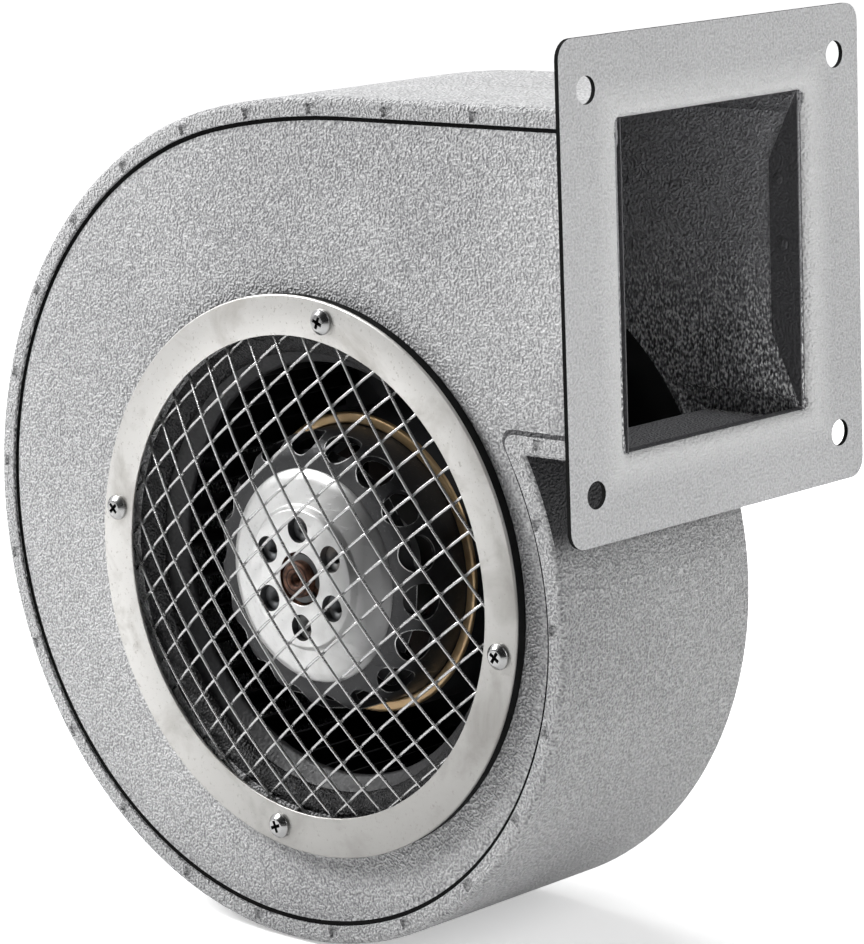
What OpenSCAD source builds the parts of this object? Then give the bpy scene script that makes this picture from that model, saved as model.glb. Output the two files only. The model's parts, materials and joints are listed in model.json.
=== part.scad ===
// Single-inlet centrifugal blower with an external-rotor DC motor inside its impeller.
// Millimetres. The origin is the centre of the outlet flange's face. +X runs out of the
// outlet, +Y from the inlet side to the motor side, +Z up.
// Most modules work in the fan's own frame: its axis is Y, and y = 0 is the casing's front.

/* [Casing] */
// Depth of the casing over its two folded lips
casing_depth = 93; // [85:1:110]
// Thickness of the casing's steel sheet
sheet_t = 1.2; // [0.8:0.1:1.6]
// Width of the wrap's lip, folded over the side plates
lip_w = 6.3; // [4:0.1:9]
// Height of the casing's flat top above the fan axis
casing_top = 156; // [150:1:162]
// Height of the outlet duct's floor above the fan axis
duct_floor = 48.8; // [44:0.2:52]
// Distance from the fan axis to the outlet flange's face
outlet_reach = 134; // [128:1:150]
// Gap left between a side plate's edge and the wrap
plate_gap = 0.2; // [0.1:0.05:0.5]
// How far each side plate is pressed in from the edge that the lip holds
joggle = 1.2; // [1:0.1:1.2]

/* [Outlet flange] */
// Width of the outlet flange, front to rear
flange_w = 144; // [138:1:150]
// Height of the outlet flange
flange_h = 151; // [146:1:158]
// Thickness of the outlet flange
flange_t = 1.5; // [1:0.1:3]
// Corner radius of the outlet flange
flange_corner = 6; // [2:0.5:10]
// Height of the flange's centre above the fan axis
outlet_rise = 103.5; // [101:0.5:106]
// Spacing of the flange's four holes, both ways
flange_pitch = 120; // [116:1:126]
// Diameter of the flange's holes
flange_hole_d = 8.5; // [6:0.1:9]
// Height of the flange's opening
opening_h = 100; // [96:1:102]
// Width of the flange's opening
opening_w = 90; // [80:1:90]
// Corner radius of the flange's opening
opening_corner = 5; // [2:0.5:8]

/* [Inlet] */
// Outer radius of the inlet ring
ring_r = 92.5; // [90:0.5:96]
// Width of the inlet ring's flat face
ring_w = 13.3; // [12.5:0.1:14]
// Thickness of the inlet ring's sheet
ring_t = 1; // [0.8:0.1:1.5]
// How far the inlet ring's face stands in front of the casing
ring_standoff = 4.2; // [3.5:0.1:6]
// Depth of the ring's turned-back outer edge
ring_skirt = 2.4; // [1.5:0.1:3]
// Angle of the first ring screw from horizontal
ring_screw_turn = 80.5; // [70:0.5:90]
// Shank diameter of the ring's screws
ring_screw_d = 4; // [3:0.5:5]
// Radius of the side plate's rolled inlet mouth
mouth_roll = 7.5; // [7:0.5:8]
// Radius of the inlet nozzle's throat
throat_r = 68.3; // [67:0.1:69]
// Depth of the nozzle's throat
throat_y = 12; // [11:0.5:13]

/* [Guard mesh] */
// Diameter of the mesh's wires
wire_d = 1; // [0.8:0.1:1.2]
// Distance between neighbouring front wires
front_pitch = 10.47; // [9:0.01:12]
// Distance between neighbouring rear wires
rear_pitch = 10.13; // [9:0.01:12]
// How far the middle front wire passes from the fan axis
front_shift = -2.1; // [-5:0.1:5]
// How far the middle rear wire passes from the fan axis
rear_shift = 4.4; // [-5:0.1:5]
// Turn of the mesh about the fan axis
mesh_turn = 38.2; // [30:0.1:45]
// Height of the mesh's dome
mesh_dome = 13.2; // [11:0.1:14]

/* [Motor] */
// Shaft diameter
shaft_d = 12; // [10:0.5:13]
// How far the shaft's end stands in front of the casing
shaft_nose = 7; // [6:0.2:8]
// Outer radius of the rotor's steel sleeve
sleeve_r = 50; // [49:0.2:52]
// Wall of the rotor's steel sleeve
sleeve_t = 3.9; // [3:0.1:4.5]
// Depth of the sleeve's front edge
sleeve_front = 24.3; // [22:0.1:28]
// Outer radius of the bright end hub
hub_r = 35.5; // [34:0.5:37]
// Radius of the hub's raised boss
boss_r = 22.5; // [21.5:0.5:25]
// Radius of the circle of the boss's six holes
boss_hole_pcr = 16.2; // [15.4:0.1:17]
// Diameter of the boss's six holes
boss_hole_d = 8.8; // [6:0.2:9]
// Number of air ports around the rotor bell
bell_ports = 18; // [10:1:18]
// Diameter of each air port
port_d = 12; // [8:0.5:12.5]
// Outer radius of the stator's iron
stator_r = 41.5; // [40:0.1:41.8]
// Length of the stator's iron
stator_len = 32; // [24:1:34]
// Number of stator teeth
stator_teeth = 12; // [6:3:12]

/* [Impeller] */
// Outer radius of the impeller
impeller_r = 80; // [78:0.5:84]
// Depth of the impeller's front ring
impeller_front = 13.5; // [13.5:0.5:15]
// Depth of the impeller's back disc
impeller_back = 78; // [76:0.5:80]
// Number of forward-curved blades
blades = 40; // [24:1:44]
// Radial depth of a blade
blade_depth = 11.5; // [9:0.5:12]
// Thickness of a blade
blade_t = 0.8; // [0.5:0.1:1.2]

/* [Hidden] */
$fn = 96;
// Clearances: plain, close, and between a ball and its race
gap = 0.3;
snug = 0.05;
race_gap = 0.05;
disc_t = 1.2;
disc_over = 0.5;
// The scroll is four tangent arcs: their radii, and the angles at which they meet
arc_r = [300, 141, 133, 118];
arc_turn = [90, 101, 209, 286];
top_x = 23;
arc_step = 3;
wall_end = outlet_reach - flange_t;
// Sector cutters reach this far, and drilled holes start and end this far out
far = 400;
past = 10;
// A side plate's edge lies behind the lip, and its panel is one joggle further in
front_plate_y = sheet_t + joggle;
rear_plate_y = casing_depth - 2 * sheet_t - joggle;
plate_edge = sheet_t + plate_gap;
panel_edge = lip_w + 0.5;
joggle_edge = panel_edge + sheet_t;
// Inlet: its radii follow the ring's
ring_bore_r = ring_r - ring_w;
ring_screw_pcr = ring_r - 6.5;
ring_back_y = ring_t - ring_standoff;
ring_hole_r = ring_screw_d / 2 + 0.25;
ring_screw_count = 4;
ring_edge = 0.6;
mouth_r = ring_bore_r + 1.8;
mesh_r = ring_screw_pcr - ring_screw_d / 2 - 0.4;
gasket_in = mesh_r - 1;
gasket_out = ring_r - 2.1;
nozzle_flange_r = ring_r - 1.5;
nozzle_end = impeller_front + disc_t - 1;
wire_seat = 1.9 * wire_d + gap;
gasket_web = 0.6;
nozzle_t = 1.2;
ring_nut_h = 4.5;
ring_nut_w = 7;
// Guard mesh: the dome is part of a ball; each wire is a circle's arc on it
dome_r = (mesh_r * mesh_r + mesh_dome * mesh_dome) / (2 * mesh_dome);
mesh_gap = 0.1;
layer = (wire_d + mesh_gap) / 2;
dome_base = front_plate_y - wire_d / 2 - layer - mesh_gap;
// Motor
boss_y = -4.7;
shaft_r = shaft_d / 2;
centre_r = 2.4;
centre_depth = 3;
recess_r = 8.8;
bell_t = 2.5;
bell_front = 1.2;
shoulder = 8.5;
port_tilt = -30;
hub_back = 5;
hub_tube_r = 11;
hole_floor = 2;
hub_screw_r = 2;
hub_screw_head_r = 4.2;
sleeve_in = sleeve_r - sleeve_t;
bell_r = sleeve_in - snug;
bell_end = sleeve_front + 10;
magnet_t = 3.4;
magnets = 8;
magnet_front = bell_end + 2;
magnet_len = stator_len + 4;
stator_front = magnet_front + 2;
tube_r = 15;
stator_back_r = tube_r + 8;
tooth_w = 5;
tooth_tip = 3;
insulator_t = 1.5;
coil_over = 3.5;
coil_h = 2.6;
bearing_r = 14;
bearing_w = 8;
bearing_in_r = 8;
bearing_stop_r = bearing_in_r + 2.5;
ball_r = 2;
ball_pcr = 10;
balls = 8;
front_bearing_y = 22;
rear_bearing_y = 80;
tube_front_y = front_bearing_y - 2;
wave_t = 0.6;
shaft_end_y = rear_bearing_y + bearing_w + 2.6;
circlip_t = 1;
circlip_r = shaft_r + 2;
groove_r = shaft_r - 0.6;
front_clip_y = -3.6;
rear_clip_y = rear_bearing_y + bearing_w;
disc_screw_r = 1.25;
disc_screw_len = 6;
disc_screw_pcr = sleeve_r - sleeve_t / 2;
// Motor mount, behind the rear side plate
mount_y = rear_plate_y + sheet_t;
mount_r = 70;
mount_t = 4;
mount_back_y = mount_y + mount_t;
mount_screw_pcr = mount_r - 10;
mount_screws = 6;
motor_hole_r = 42;
collar_h = 3;
m5_r = 2.5;
motor_screw_len = 14;
motor_nut_h = 4;
motor_nut_w = 8;
cover_t = 2;
cover_depth = 22;
cover_flange_r = mount_r - 12;
cover_r = cover_flange_r - 6;
cover_screw_pcr = cover_r + 3;
post_h = 5;
post_r = 4;
small_screw_d = 2.5;
tap_r = small_screw_d / 2 + snug;
board_r = cover_r - 6;
post_pcr = board_r - 8;
board_t = 1.6;
lead_pcr = 25;
lead_r = 1.2;
lead_hole_r = 2;
cable_y = mount_back_y + cover_depth / 2;
grommet_r = 6;
earth_screw_d = 3;
earth_pcr = mount_r - 5;

// Moves the fan's own frame to its place behind the outlet flange.
module fan_frame() {
    translate([-outlet_reach, -casing_depth / 2, -outlet_rise]) children();
}

// Spins a profile of [radius, depth] points about the fan axis.
module spun(profile) {
    rotate([-90, 0, 0]) rotate_extrude() polygon(profile);
}

// A round bar along the fan axis, from one depth to another.
module bar(r, y0, y1) {
    translate([0, y0, 0]) rotate([-90, 0, 0]) cylinder(r = r, h = y1 - y0);
}

// A washer along the fan axis.
module washer(r_in, r_out, y0, y1) {
    spun([[r_in, y0], [r_out, y0], [r_out, y1], [r_in, y1]]);
}

// An outline in X and Z, made solid from depth y0 to y1.
module slab(y0, y1) {
    translate([0, y1, 0]) rotate([90, 0, 0]) linear_extrude(y1 - y0) children();
}

// Copies around the fan axis, the first at the given angle and radius.
module around(count, radius, first = 0) {
    for (i = [0 : count - 1])
        rotate([0, -(first + i * 360 / count), 0]) translate([radius, 0, 0]) children();
}

function polar(r, a) = [r * cos(a), r * sin(a)];

// Centre of one of the scroll's arcs: each arc meets the last one smoothly.
function arc_centre(k) = k == 0
    ? [top_x, casing_top - arc_r[0]]
    : arc_centre(k - 1) + polar(arc_r[k - 1] - arc_r[k], arc_turn[k]);

// The tongue is where the last arc meets the duct's floor.
function tongue(inset) =
    let (c = arc_centre(3), r = arc_r[3] - inset, dz = duct_floor + inset - c[1])
    [c[0] + sqrt(r * r - dz * dz), duct_floor + inset];

// Points along one of the scroll's arcs, in steps that always include its furthest point.
function arc_points(k, a1, inset) = [for (a = [arc_turn[k],
    for (s = [ceil(arc_turn[k] / arc_step + 0.1) * arc_step : arc_step : a1 - 0.5]) s])
    arc_centre(k) + polar(arc_r[k] - inset, a)];

// The casing seen from its inlet side, drawn in by an inset except at the outlet.
module casing_outline(inset, over = 0) {
    end = wall_end + over;
    t = tongue(inset);
    c3 = arc_centre(3);
    last = 360 + atan2(t[1] - c3[1], t[0] - c3[0]);
    polygon([[end, casing_top - inset],
        for (k = [0 : 2]) each arc_points(k, arc_turn[k + 1], inset),
        each arc_points(3, last, inset), t, [end, t[1]]]);
}

// A side plate: its edge under the lip, and its panel. side is 1 at the front, -1 at the rear.
module side_sheet(panel_y, side) {
    strip_y = panel_y - side * joggle;
    slab(strip_y, strip_y + sheet_t) difference() {
        casing_outline(plate_edge);
        casing_outline(joggle_edge, 1);
    }
    slab(panel_y, panel_y + sheet_t) casing_outline(panel_edge);
}

// A rectangle with rounded corners, from two crossed bars and four discs.
module rounded_rect(w, h, r) {
    square([w - 2 * r, h], center = true);
    square([w, h - 2 * r], center = true);
    for (x = [-1, 1], y = [-1, 1])
        translate([x * (w / 2 - r), y * (h / 2 - r)]) circle(r = r, $fn = 48);
}

// A pan-head screw along the fan axis, its head's underside at depth 0, pointing to +Y.
module pan_screw(d, length) {
    head_r = 1.05 * d;
    head_h = 0.6 * d;
    difference() {
        union() {
            bar(d / 2, 0, length);
            spun([[0, -head_h], [0.55 * head_r, -head_h], [0.85 * head_r, -0.8 * head_h],
                [head_r, -0.4 * head_h], [head_r, 0], [0, 0]]);
        }
        for (a = [0, 90])
            rotate([0, a, 0]) translate([0, -head_h, 0])
                cube([0.9 * d, 0.8 * head_h, 0.2 * d], center = true);
    }
}

// The holes that the ring's screws pass through.
module ring_holes() {
    around(ring_screw_count, ring_screw_pcr, ring_screw_turn) bar(ring_hole_r, -past, past);
}

// The motor screws' places, around the mount.
module mount_places() {
    around(mount_screws, mount_screw_pcr, 30) children();
}

module hex_nut(across, bore_r, y0, y1) {
    difference() {
        translate([0, y0, 0]) rotate([-90, 0, 0])
            cylinder(d = across / cos(30), h = y1 - y0, $fn = 6);
        bar(bore_r, y0 - 1, y1 + 1);
    }
}

// ---- Casing ----

module scroll_wrap() {
    color("lightgrey") fan_frame() {
        slab(0, casing_depth) difference() {
            casing_outline(0);
            casing_outline(sheet_t, 1);
        }
        for (y = [0, casing_depth - sheet_t])
            slab(y, y + sheet_t) difference() {
                casing_outline(0);
                casing_outline(lip_w, 1);
            }
    }
}

module front_side_plate() {
    roll_in = mouth_roll - sheet_t;
    roll_y = front_plate_y + mouth_roll;
    color("lightgrey") fan_frame() {
        difference() {
            side_sheet(front_plate_y, 1);
            bar(mouth_r, 0, past);
            ring_holes();
        }
        rotate([-90, 0, 0]) rotate_extrude() intersection() {
            difference() {
                translate([mouth_r, roll_y]) circle(r = mouth_roll);
                translate([mouth_r, roll_y]) circle(r = roll_in);
            }
            polygon([[mouth_r, roll_y], [mouth_r, 0],
                [mouth_r - 1.2 * mouth_roll, roll_y - 1.2 * mouth_roll]]);
        }
    }
}

module rear_side_plate() {
    color("lightgrey") fan_frame() {
        difference() {
            union() {
                side_sheet(rear_plate_y, -1);
                bar(motor_hole_r + sheet_t, rear_plate_y - collar_h, rear_plate_y + sheet_t);
            }
            bar(motor_hole_r, rear_plate_y - collar_h - 1, casing_depth);
            mount_places() bar(m5_r + gap, rear_plate_y - past, casing_depth);
        }
    }
}

module outlet_flange() {
    color("silver") rotate([90, 0, 90]) translate([0, 0, -flange_t])
        linear_extrude(flange_t) difference() {
            rounded_rect(flange_w, flange_h, flange_corner);
            rounded_rect(opening_w, opening_h, opening_corner);
            for (x = [-1, 1], y = [-1, 1])
                translate([x, y] * flange_pitch / 2) circle(d = flange_hole_d);
        }
}

// ---- Inlet ----

module inlet_ring() {
    color("gainsboro") fan_frame() {
        difference() {
            spun([[ring_bore_r, -ring_standoff], [ring_r - ring_edge, -ring_standoff],
                [ring_r, ring_edge - ring_standoff], [ring_r, ring_skirt - ring_standoff],
                [ring_r - ring_t, ring_skirt - ring_standoff], [ring_r - ring_t, ring_back_y],
                [ring_bore_r, ring_back_y]]);
            ring_holes();
        }
    }
}

// The gasket's stepped back edge holds the ends of the mesh's wires against the plate.
module inlet_gasket() {
    seat_r = mesh_r + 0.4;
    seat_y = front_plate_y - wire_seat - gasket_web;
    color("black") fan_frame() {
        difference() {
            spun([[gasket_in, ring_back_y], [gasket_out, ring_back_y],
                [gasket_out, front_plate_y], [seat_r, front_plate_y], [seat_r, seat_y],
                [gasket_in, seat_y]]);
            ring_holes();
        }
    }
}

// One family of domed wires, each an arc of the circle that a plane cuts from the ball.
module wire_family(turn, side, pitch, shift) {
    ball = dome_r - side * layer;
    reach = mesh_r - 3;
    for (i = [ceil((-reach - shift) / pitch) : floor((reach - shift) / pitch)]) {
        offset_x = shift + i * pitch;
        half = sqrt(mesh_r * mesh_r - offset_x * offset_x);
        ring = sqrt(ball * ball - offset_x * offset_x);
        sweep = 2 * asin(half / ring);
        rotate([0, -turn, 0]) translate([offset_x, dome_base - mesh_dome + dome_r, 0])
            rotate([0, 90, 0]) rotate([0, 0, -90 - sweep / 2])
                rotate_extrude(angle = sweep) translate([ring, 0])
                    circle(d = wire_d, $fn = 16);
    }
}

module guard_mesh() {
    color("silver") fan_frame() {
        wire_family(mesh_turn, -1, front_pitch, front_shift);
        wire_family(mesh_turn + 90, 1, rear_pitch, rear_shift);
    }
}

// The nozzle nests behind the plate's rolled mouth and tapers to its throat.
module inlet_nozzle() {
    back = front_plate_y + sheet_t;
    roll = mouth_roll - sheet_t - gap;
    roll_y = front_plate_y + mouth_roll;
    start_r = mouth_r - roll * sin(45);
    start_y = roll_y - roll * cos(45);
    color("dimgray") fan_frame() {
        difference() {
            spun([[mouth_r + 1, back], [nozzle_flange_r, back],
                [nozzle_flange_r, back + nozzle_t], [mouth_r - 1, back + nozzle_t],
                [start_r + 0.8 * nozzle_t, start_y + nozzle_t],
                [throat_r + nozzle_t, throat_y + 0.6 * nozzle_t],
                [throat_r + nozzle_t, nozzle_end], [throat_r, nozzle_end],
                [throat_r, throat_y], [start_r, start_y],
                for (a = [35 : -7 : 0]) [mouth_r - roll * sin(a), roll_y - roll * cos(a)]]);
            ring_holes();
        }
    }
}

module ring_screws() {
    stack = ring_standoff + front_plate_y + sheet_t + nozzle_t;
    color("whitesmoke") fan_frame() around(ring_screw_count, ring_screw_pcr, ring_screw_turn)
        translate([0, -ring_standoff, 0]) pan_screw(ring_screw_d, stack + ring_nut_h + 1);
}

module ring_nuts() {
    back = front_plate_y + sheet_t + nozzle_t;
    color("silver") fan_frame() around(ring_screw_count, ring_screw_pcr, ring_screw_turn)
        hex_nut(ring_nut_w, ring_screw_d / 2 + snug, back, back + ring_nut_h);
}

// ---- Motor: the parts that stand still ----

module motor_mount() {
    color("silver") fan_frame() {
        difference() {
            union() {
                bar(mount_r, mount_y, mount_back_y);
                bar(tube_r, tube_front_y, mount_y + 1);
                around(3, post_pcr, 90) bar(post_r, mount_back_y - 1, mount_back_y + post_h);
            }
            bar(bearing_stop_r, tube_front_y - 1, mount_back_y + 1);
            bar(bearing_r, tube_front_y - 1, front_bearing_y + bearing_w);
            bar(bearing_r, rear_bearing_y - wave_t, mount_back_y + 1);
            mount_places() bar(m5_r + gap, mount_y - past, mount_back_y + past);
            around(3, cover_screw_pcr) bar(tap_r, mount_y - past, mount_back_y + past);
            around(3, post_pcr, 90) bar(tap_r, mount_y + 1, mount_back_y + past);
            around(3, lead_pcr, 30) bar(lead_hole_r, mount_y - past, mount_back_y + past);
            translate([earth_pcr, 0, 0])
                bar(earth_screw_d / 2 + snug, mount_y - past, mount_back_y + past);
        }
    }
}

module motor_screws() {
    color("silver") fan_frame() mount_places()
        translate([0, mount_back_y, 0]) rotate([180, 0, 0]) pan_screw(2 * m5_r, motor_screw_len);
}

module motor_nuts() {
    color("silver") fan_frame() mount_places()
        hex_nut(motor_nut_w, m5_r + snug, rear_plate_y - motor_nut_h, rear_plate_y);
}

module stator_core() {
    pole = 360 / stator_teeth;
    color("dimgray") fan_frame() slab(stator_front, stator_front + stator_len) {
        difference() {
            circle(r = stator_back_r);
            circle(r = tube_r + snug);
        }
        for (i = [0 : stator_teeth - 1]) rotate(i * pole) {
            translate([stator_back_r - 3, -tooth_w / 2])
                square([stator_r - stator_back_r + 1, tooth_w]);
            intersection() {
                difference() {
                    circle(r = stator_r);
                    circle(r = stator_r - tooth_tip);
                }
                polygon([[0, 0], polar(far, -0.42 * pole), polar(far, 0.42 * pole)]);
            }
        }
    }
}

module stator_insulators() {
    color("ivory") fan_frame() for (y = [stator_front - insulator_t, stator_front + stator_len])
        washer(tube_r + snug, stator_back_r - 0.5, y, y + insulator_t);
}

// One coil around each tooth, longer than the iron at both ends.
module stator_windings() {
    coil_in = stator_back_r + 0.6;
    coil_len = stator_r - tooth_tip - 0.6 - coil_in;
    color("peru") fan_frame() around(stator_teeth, coil_in) difference() {
        translate([0, stator_front - coil_over, -tooth_w / 2 - coil_h])
            cube([coil_len, stator_len + 2 * coil_over, tooth_w + 2 * coil_h]);
        translate([-1, stator_front - snug, -tooth_w / 2 - snug])
            cube([coil_len + 2, stator_len + 2 * snug, tooth_w + 2 * snug]);
    }
}

module phase_leads() {
    color("firebrick") fan_frame() around(3, lead_pcr, 30)
        bar(lead_r, stator_front + stator_len + coil_over, mount_back_y + post_h);
}

// The outer race carries the bearing's two thin shields.
module bearing_outer(y0) {
    race_r = ball_pcr + 0.8;
    shield_t = 0.4;
    translate([0, y0, 0]) rotate([-90, 0, 0]) rotate_extrude() difference() {
        union() {
            translate([race_r, 0]) square([bearing_r - race_r, bearing_w]);
            for (y = [shield_t / 2, bearing_w - 1.5 * shield_t])
                translate([bearing_in_r + 0.4, y]) square([4, shield_t]);
        }
        translate([ball_pcr, bearing_w / 2]) circle(r = ball_r + race_gap);
    }
}

module bearing_inner(y0) {
    translate([0, y0, 0]) rotate([-90, 0, 0]) rotate_extrude() difference() {
        translate([shaft_r, 0]) square([bearing_in_r - shaft_r, bearing_w]);
        translate([ball_pcr, bearing_w / 2]) circle(r = ball_r + race_gap);
    }
}

module front_bearing_outer() {
    color("lightsteelblue") fan_frame() bearing_outer(front_bearing_y);
}

module rear_bearing_outer() {
    color("lightsteelblue") fan_frame() bearing_outer(rear_bearing_y);
}

module bearing_balls() {
    color("white") fan_frame() for (y = [front_bearing_y, rear_bearing_y])
        around(balls, ball_pcr) translate([0, y + bearing_w / 2, 0]) sphere(r = ball_r);
}

module wave_washer() {
    color("silver") fan_frame()
        washer(bearing_stop_r + 0.1, bearing_r - 0.2, rear_bearing_y - wave_t, rear_bearing_y);
}

module circuit_board() {
    y0 = mount_back_y + post_h;
    color("darkgreen") fan_frame() difference() {
        bar(board_r, y0, y0 + board_t);
        bar(bearing_in_r, y0 - 1, y0 + past);
        around(3, post_pcr, 90) bar(tap_r + gap, y0 - 1, y0 + past);
    }
}

// Four round capacitors and five square switching transistors.
module board_parts() {
    y0 = mount_back_y + post_h + board_t;
    can_r = 5;
    can_h = 11;
    chip = [9, 4.5, 8];
    color("darkslategray") fan_frame() {
        for (a = [0 : 40 : 120])
            rotate([0, a, 0]) translate([post_pcr - 8, 0, 0]) bar(can_r, y0, y0 + can_h);
        for (a = [180 : 30 : 300])
            rotate([0, a, 0]) translate([post_pcr - 14, y0, -chip[2] / 2]) cube(chip);
    }
}

module board_screws() {
    color("silver") fan_frame() around(3, post_pcr, 90)
        translate([0, mount_back_y + post_h + board_t, 0]) rotate([180, 0, 0])
            pan_screw(small_screw_d, 5);
}

module electronics_cover() {
    y1 = mount_back_y + cover_depth;
    color("dimgray") fan_frame() difference() {
        spun([[0, y1 - cover_t], [cover_r - cover_t, y1 - cover_t],
            [cover_r - cover_t, mount_back_y], [cover_flange_r, mount_back_y],
            [cover_flange_r, mount_back_y + cover_t], [cover_r, mount_back_y + cover_t],
            [cover_r, y1 - 3], [cover_r - 3, y1], [0, y1]]);
        around(3, cover_screw_pcr) bar(tap_r + gap, mount_back_y - 1, mount_back_y + past);
        mount_places() bar(2.3 * m5_r, mount_back_y - 1, mount_back_y + past);
        translate([0, cable_y, 0]) rotate([180, 0, 0]) cylinder(r = grommet_r, h = cover_r + past);
    }
}

module cover_screws() {
    color("silver") fan_frame() around(3, cover_screw_pcr)
        translate([0, mount_back_y + cover_t, 0]) rotate([180, 0, 0]) pan_screw(small_screw_d, 6);
}

// A closed rubber bush where a supply cable would be led in.
module cable_grommet() {
    color("black") fan_frame() translate([0, cable_y, 0]) rotate([180, 0, 0]) difference() {
        union() {
            cylinder(r = grommet_r - snug, h = cover_r + 1);
            translate([0, 0, cover_r + 0.6]) cylinder(r = grommet_r + 2, h = 2);
        }
        translate([0, 0, -1]) cylinder(r = grommet_r + 1, h = cover_r - cover_t - 2);
        translate([0, 0, cover_r + 1.6]) cylinder(r = grommet_r - 2, h = 2);
    }
}

module earth_screw() {
    color("gold") fan_frame() translate([earth_pcr, mount_back_y, 0])
        rotate([180, 0, 0]) pan_screw(earth_screw_d, mount_t - 0.2);
}

// ---- Motor: the parts that turn ----

module rotor_shaft() {
    color("sienna") fan_frame() difference() {
        spun([[0, -shaft_nose], [shaft_r - 0.8, -shaft_nose], [shaft_r, 0.8 - shaft_nose],
            [shaft_r, front_clip_y], [groove_r, front_clip_y],
            [groove_r, front_clip_y + circlip_t], [shaft_r, front_clip_y + circlip_t],
            [shaft_r, rear_clip_y], [groove_r, rear_clip_y],
            [groove_r, rear_clip_y + circlip_t], [shaft_r, rear_clip_y + circlip_t],
            [shaft_r, shaft_end_y], [0, shaft_end_y]]);
        translate([0, -shaft_nose, 0]) rotate([-90, 0, 0])
            cylinder(r1 = centre_r, r2 = 0.4, h = centre_depth);
    }
}

module rotor_hub() {
    color("gainsboro") fan_frame() difference() {
        spun([[shaft_r, front_clip_y + circlip_t], [recess_r, front_clip_y + circlip_t],
            [recess_r, boss_y], [boss_r - 0.8, boss_y], [boss_r, boss_y + 0.8],
            [boss_r + 1.5, boss_y + 2.2], [hub_r - 4, -0.6], [hub_r - 1.2, 0.4],
            [hub_r, 2], [hub_r, hub_back], [hub_tube_r, hub_back],
            [hub_tube_r, tube_front_y - 1], [bearing_in_r - 0.4, tube_front_y - 1],
            [bearing_in_r - 0.4, front_bearing_y], [shaft_r, front_bearing_y]]);
        around(6, boss_hole_pcr, 30) bar(boss_hole_d / 2, -past, hole_floor);
        around(6, boss_hole_pcr, 30) bar(hub_screw_r + 0.7, -1, hub_back + 1);
    }
}

// The bell's rounded shoulder is pierced by a ring of round air ports.
module rotor_bell() {
    round_r = bell_r - shoulder;
    round_y = bell_front + shoulder;
    color("gray") fan_frame() difference() {
        spun([[hub_tube_r + snug, hub_back + snug], [hub_r + snug, hub_back + snug],
            [hub_r + snug, bell_front],
            for (a = [90 : -10 : 0])
                [round_r + shoulder * cos(a), round_y - shoulder * sin(a)],
            [bell_r, bell_end], [bell_r - bell_t, bell_end], [bell_r - bell_t, round_y],
            [bell_r - bell_t - 1, hub_back + bell_t], [hub_tube_r + snug, hub_back + bell_t]]);
        around(bell_ports, round_r, 15) translate([0, round_y, 0]) rotate([0, 0, port_tilt])
            translate([shoulder - 5, 0, 0]) rotate([0, 90, 0])
                cylinder(d = port_d, h = past, $fn = 48);
        around(6, boss_hole_pcr, 30) bar(hub_screw_r + snug, hub_back, hub_back + past);
    }
}

// Socket-head screws sunk in the boss clamp the hub to the bell.
module hub_screws() {
    color("dimgray") fan_frame() around(6, boss_hole_pcr, 30) difference() {
        union() {
            bar(hub_screw_head_r, hole_floor - hub_screw_head_r, hole_floor);
            bar(hub_screw_r, hole_floor - 1, hub_back + bell_t);
        }
        translate([0, hole_floor - hub_screw_head_r - 0.1, 0]) rotate([-90, 0, 0])
            cylinder(r = 2.3, h = 2.6, $fn = 6);
    }
}

module rotor_sleeve() {
    back = impeller_back;
    color("tan") fan_frame() difference() {
        spun([[sleeve_in, sleeve_front + 1], [sleeve_in + 1, sleeve_front],
            [sleeve_r - 1.2, sleeve_front], [sleeve_r, sleeve_front + 1.2],
            [sleeve_r, back], [sleeve_in, back]]);
        around(6, disc_screw_pcr) bar(disc_screw_r + snug, back - disc_screw_len - 1, back + 1);
    }
}

module rotor_magnets() {
    span = 360 / magnets - 6.3;
    color("darkslategray") fan_frame() slab(magnet_front, magnet_front + magnet_len)
        for (i = [0 : magnets - 1]) rotate(i * 360 / magnets) intersection() {
            difference() {
                circle(r = sleeve_in - snug);
                circle(r = sleeve_in - magnet_t);
            }
            polygon([[0, 0], polar(far, -span / 2), polar(far, span / 2)]);
        }
}

module front_bearing_inner() {
    color("silver") fan_frame() bearing_inner(front_bearing_y);
}

module rear_bearing_inner() {
    color("silver") fan_frame() bearing_inner(rear_bearing_y);
}

module circlip(y0) {
    difference() {
        washer(groove_r + snug, circlip_r, y0 + snug / 2, y0 + circlip_t - snug / 2);
        translate([0, y0, 0]) rotate([0, 45, 0]) cube([2 * circlip_r, 2 * circlip_t, 3]);
    }
}

module front_circlip() {
    color("dimgray") fan_frame() circlip(front_clip_y);
}

module rear_circlip() {
    color("dimgray") fan_frame() circlip(rear_clip_y);
}

// ---- Impeller ----

module impeller_back_disc() {
    color("silver") fan_frame() difference() {
        washer(sleeve_in, impeller_r + disc_over, impeller_back, impeller_back + disc_t);
        around(6, disc_screw_pcr) bar(disc_screw_r + gap, impeller_back - past, impeller_back + past);
    }
}

// Each blade is a bent strip: an arc that leans forward at its outer edge.
module blade_shape() {
    bend_r = 1.1 * blade_depth;
    in_r = impeller_r - blade_depth;
    intersection() {
        difference() {
            circle(r = impeller_r);
            circle(r = in_r);
        }
        translate([in_r + 0.55 * blade_depth, 0.9 * bend_r]) difference() {
            circle(r = bend_r);
            circle(r = bend_r - blade_t);
        }
        translate([in_r - 2, -bend_r]) square([blade_depth + 4, 1.6 * bend_r]);
    }
}

module impeller_blades() {
    color("silver") fan_frame() slab(impeller_front + disc_t, impeller_back)
        for (i = [0 : blades - 1]) rotate(i * 360 / blades) blade_shape();
}

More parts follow.
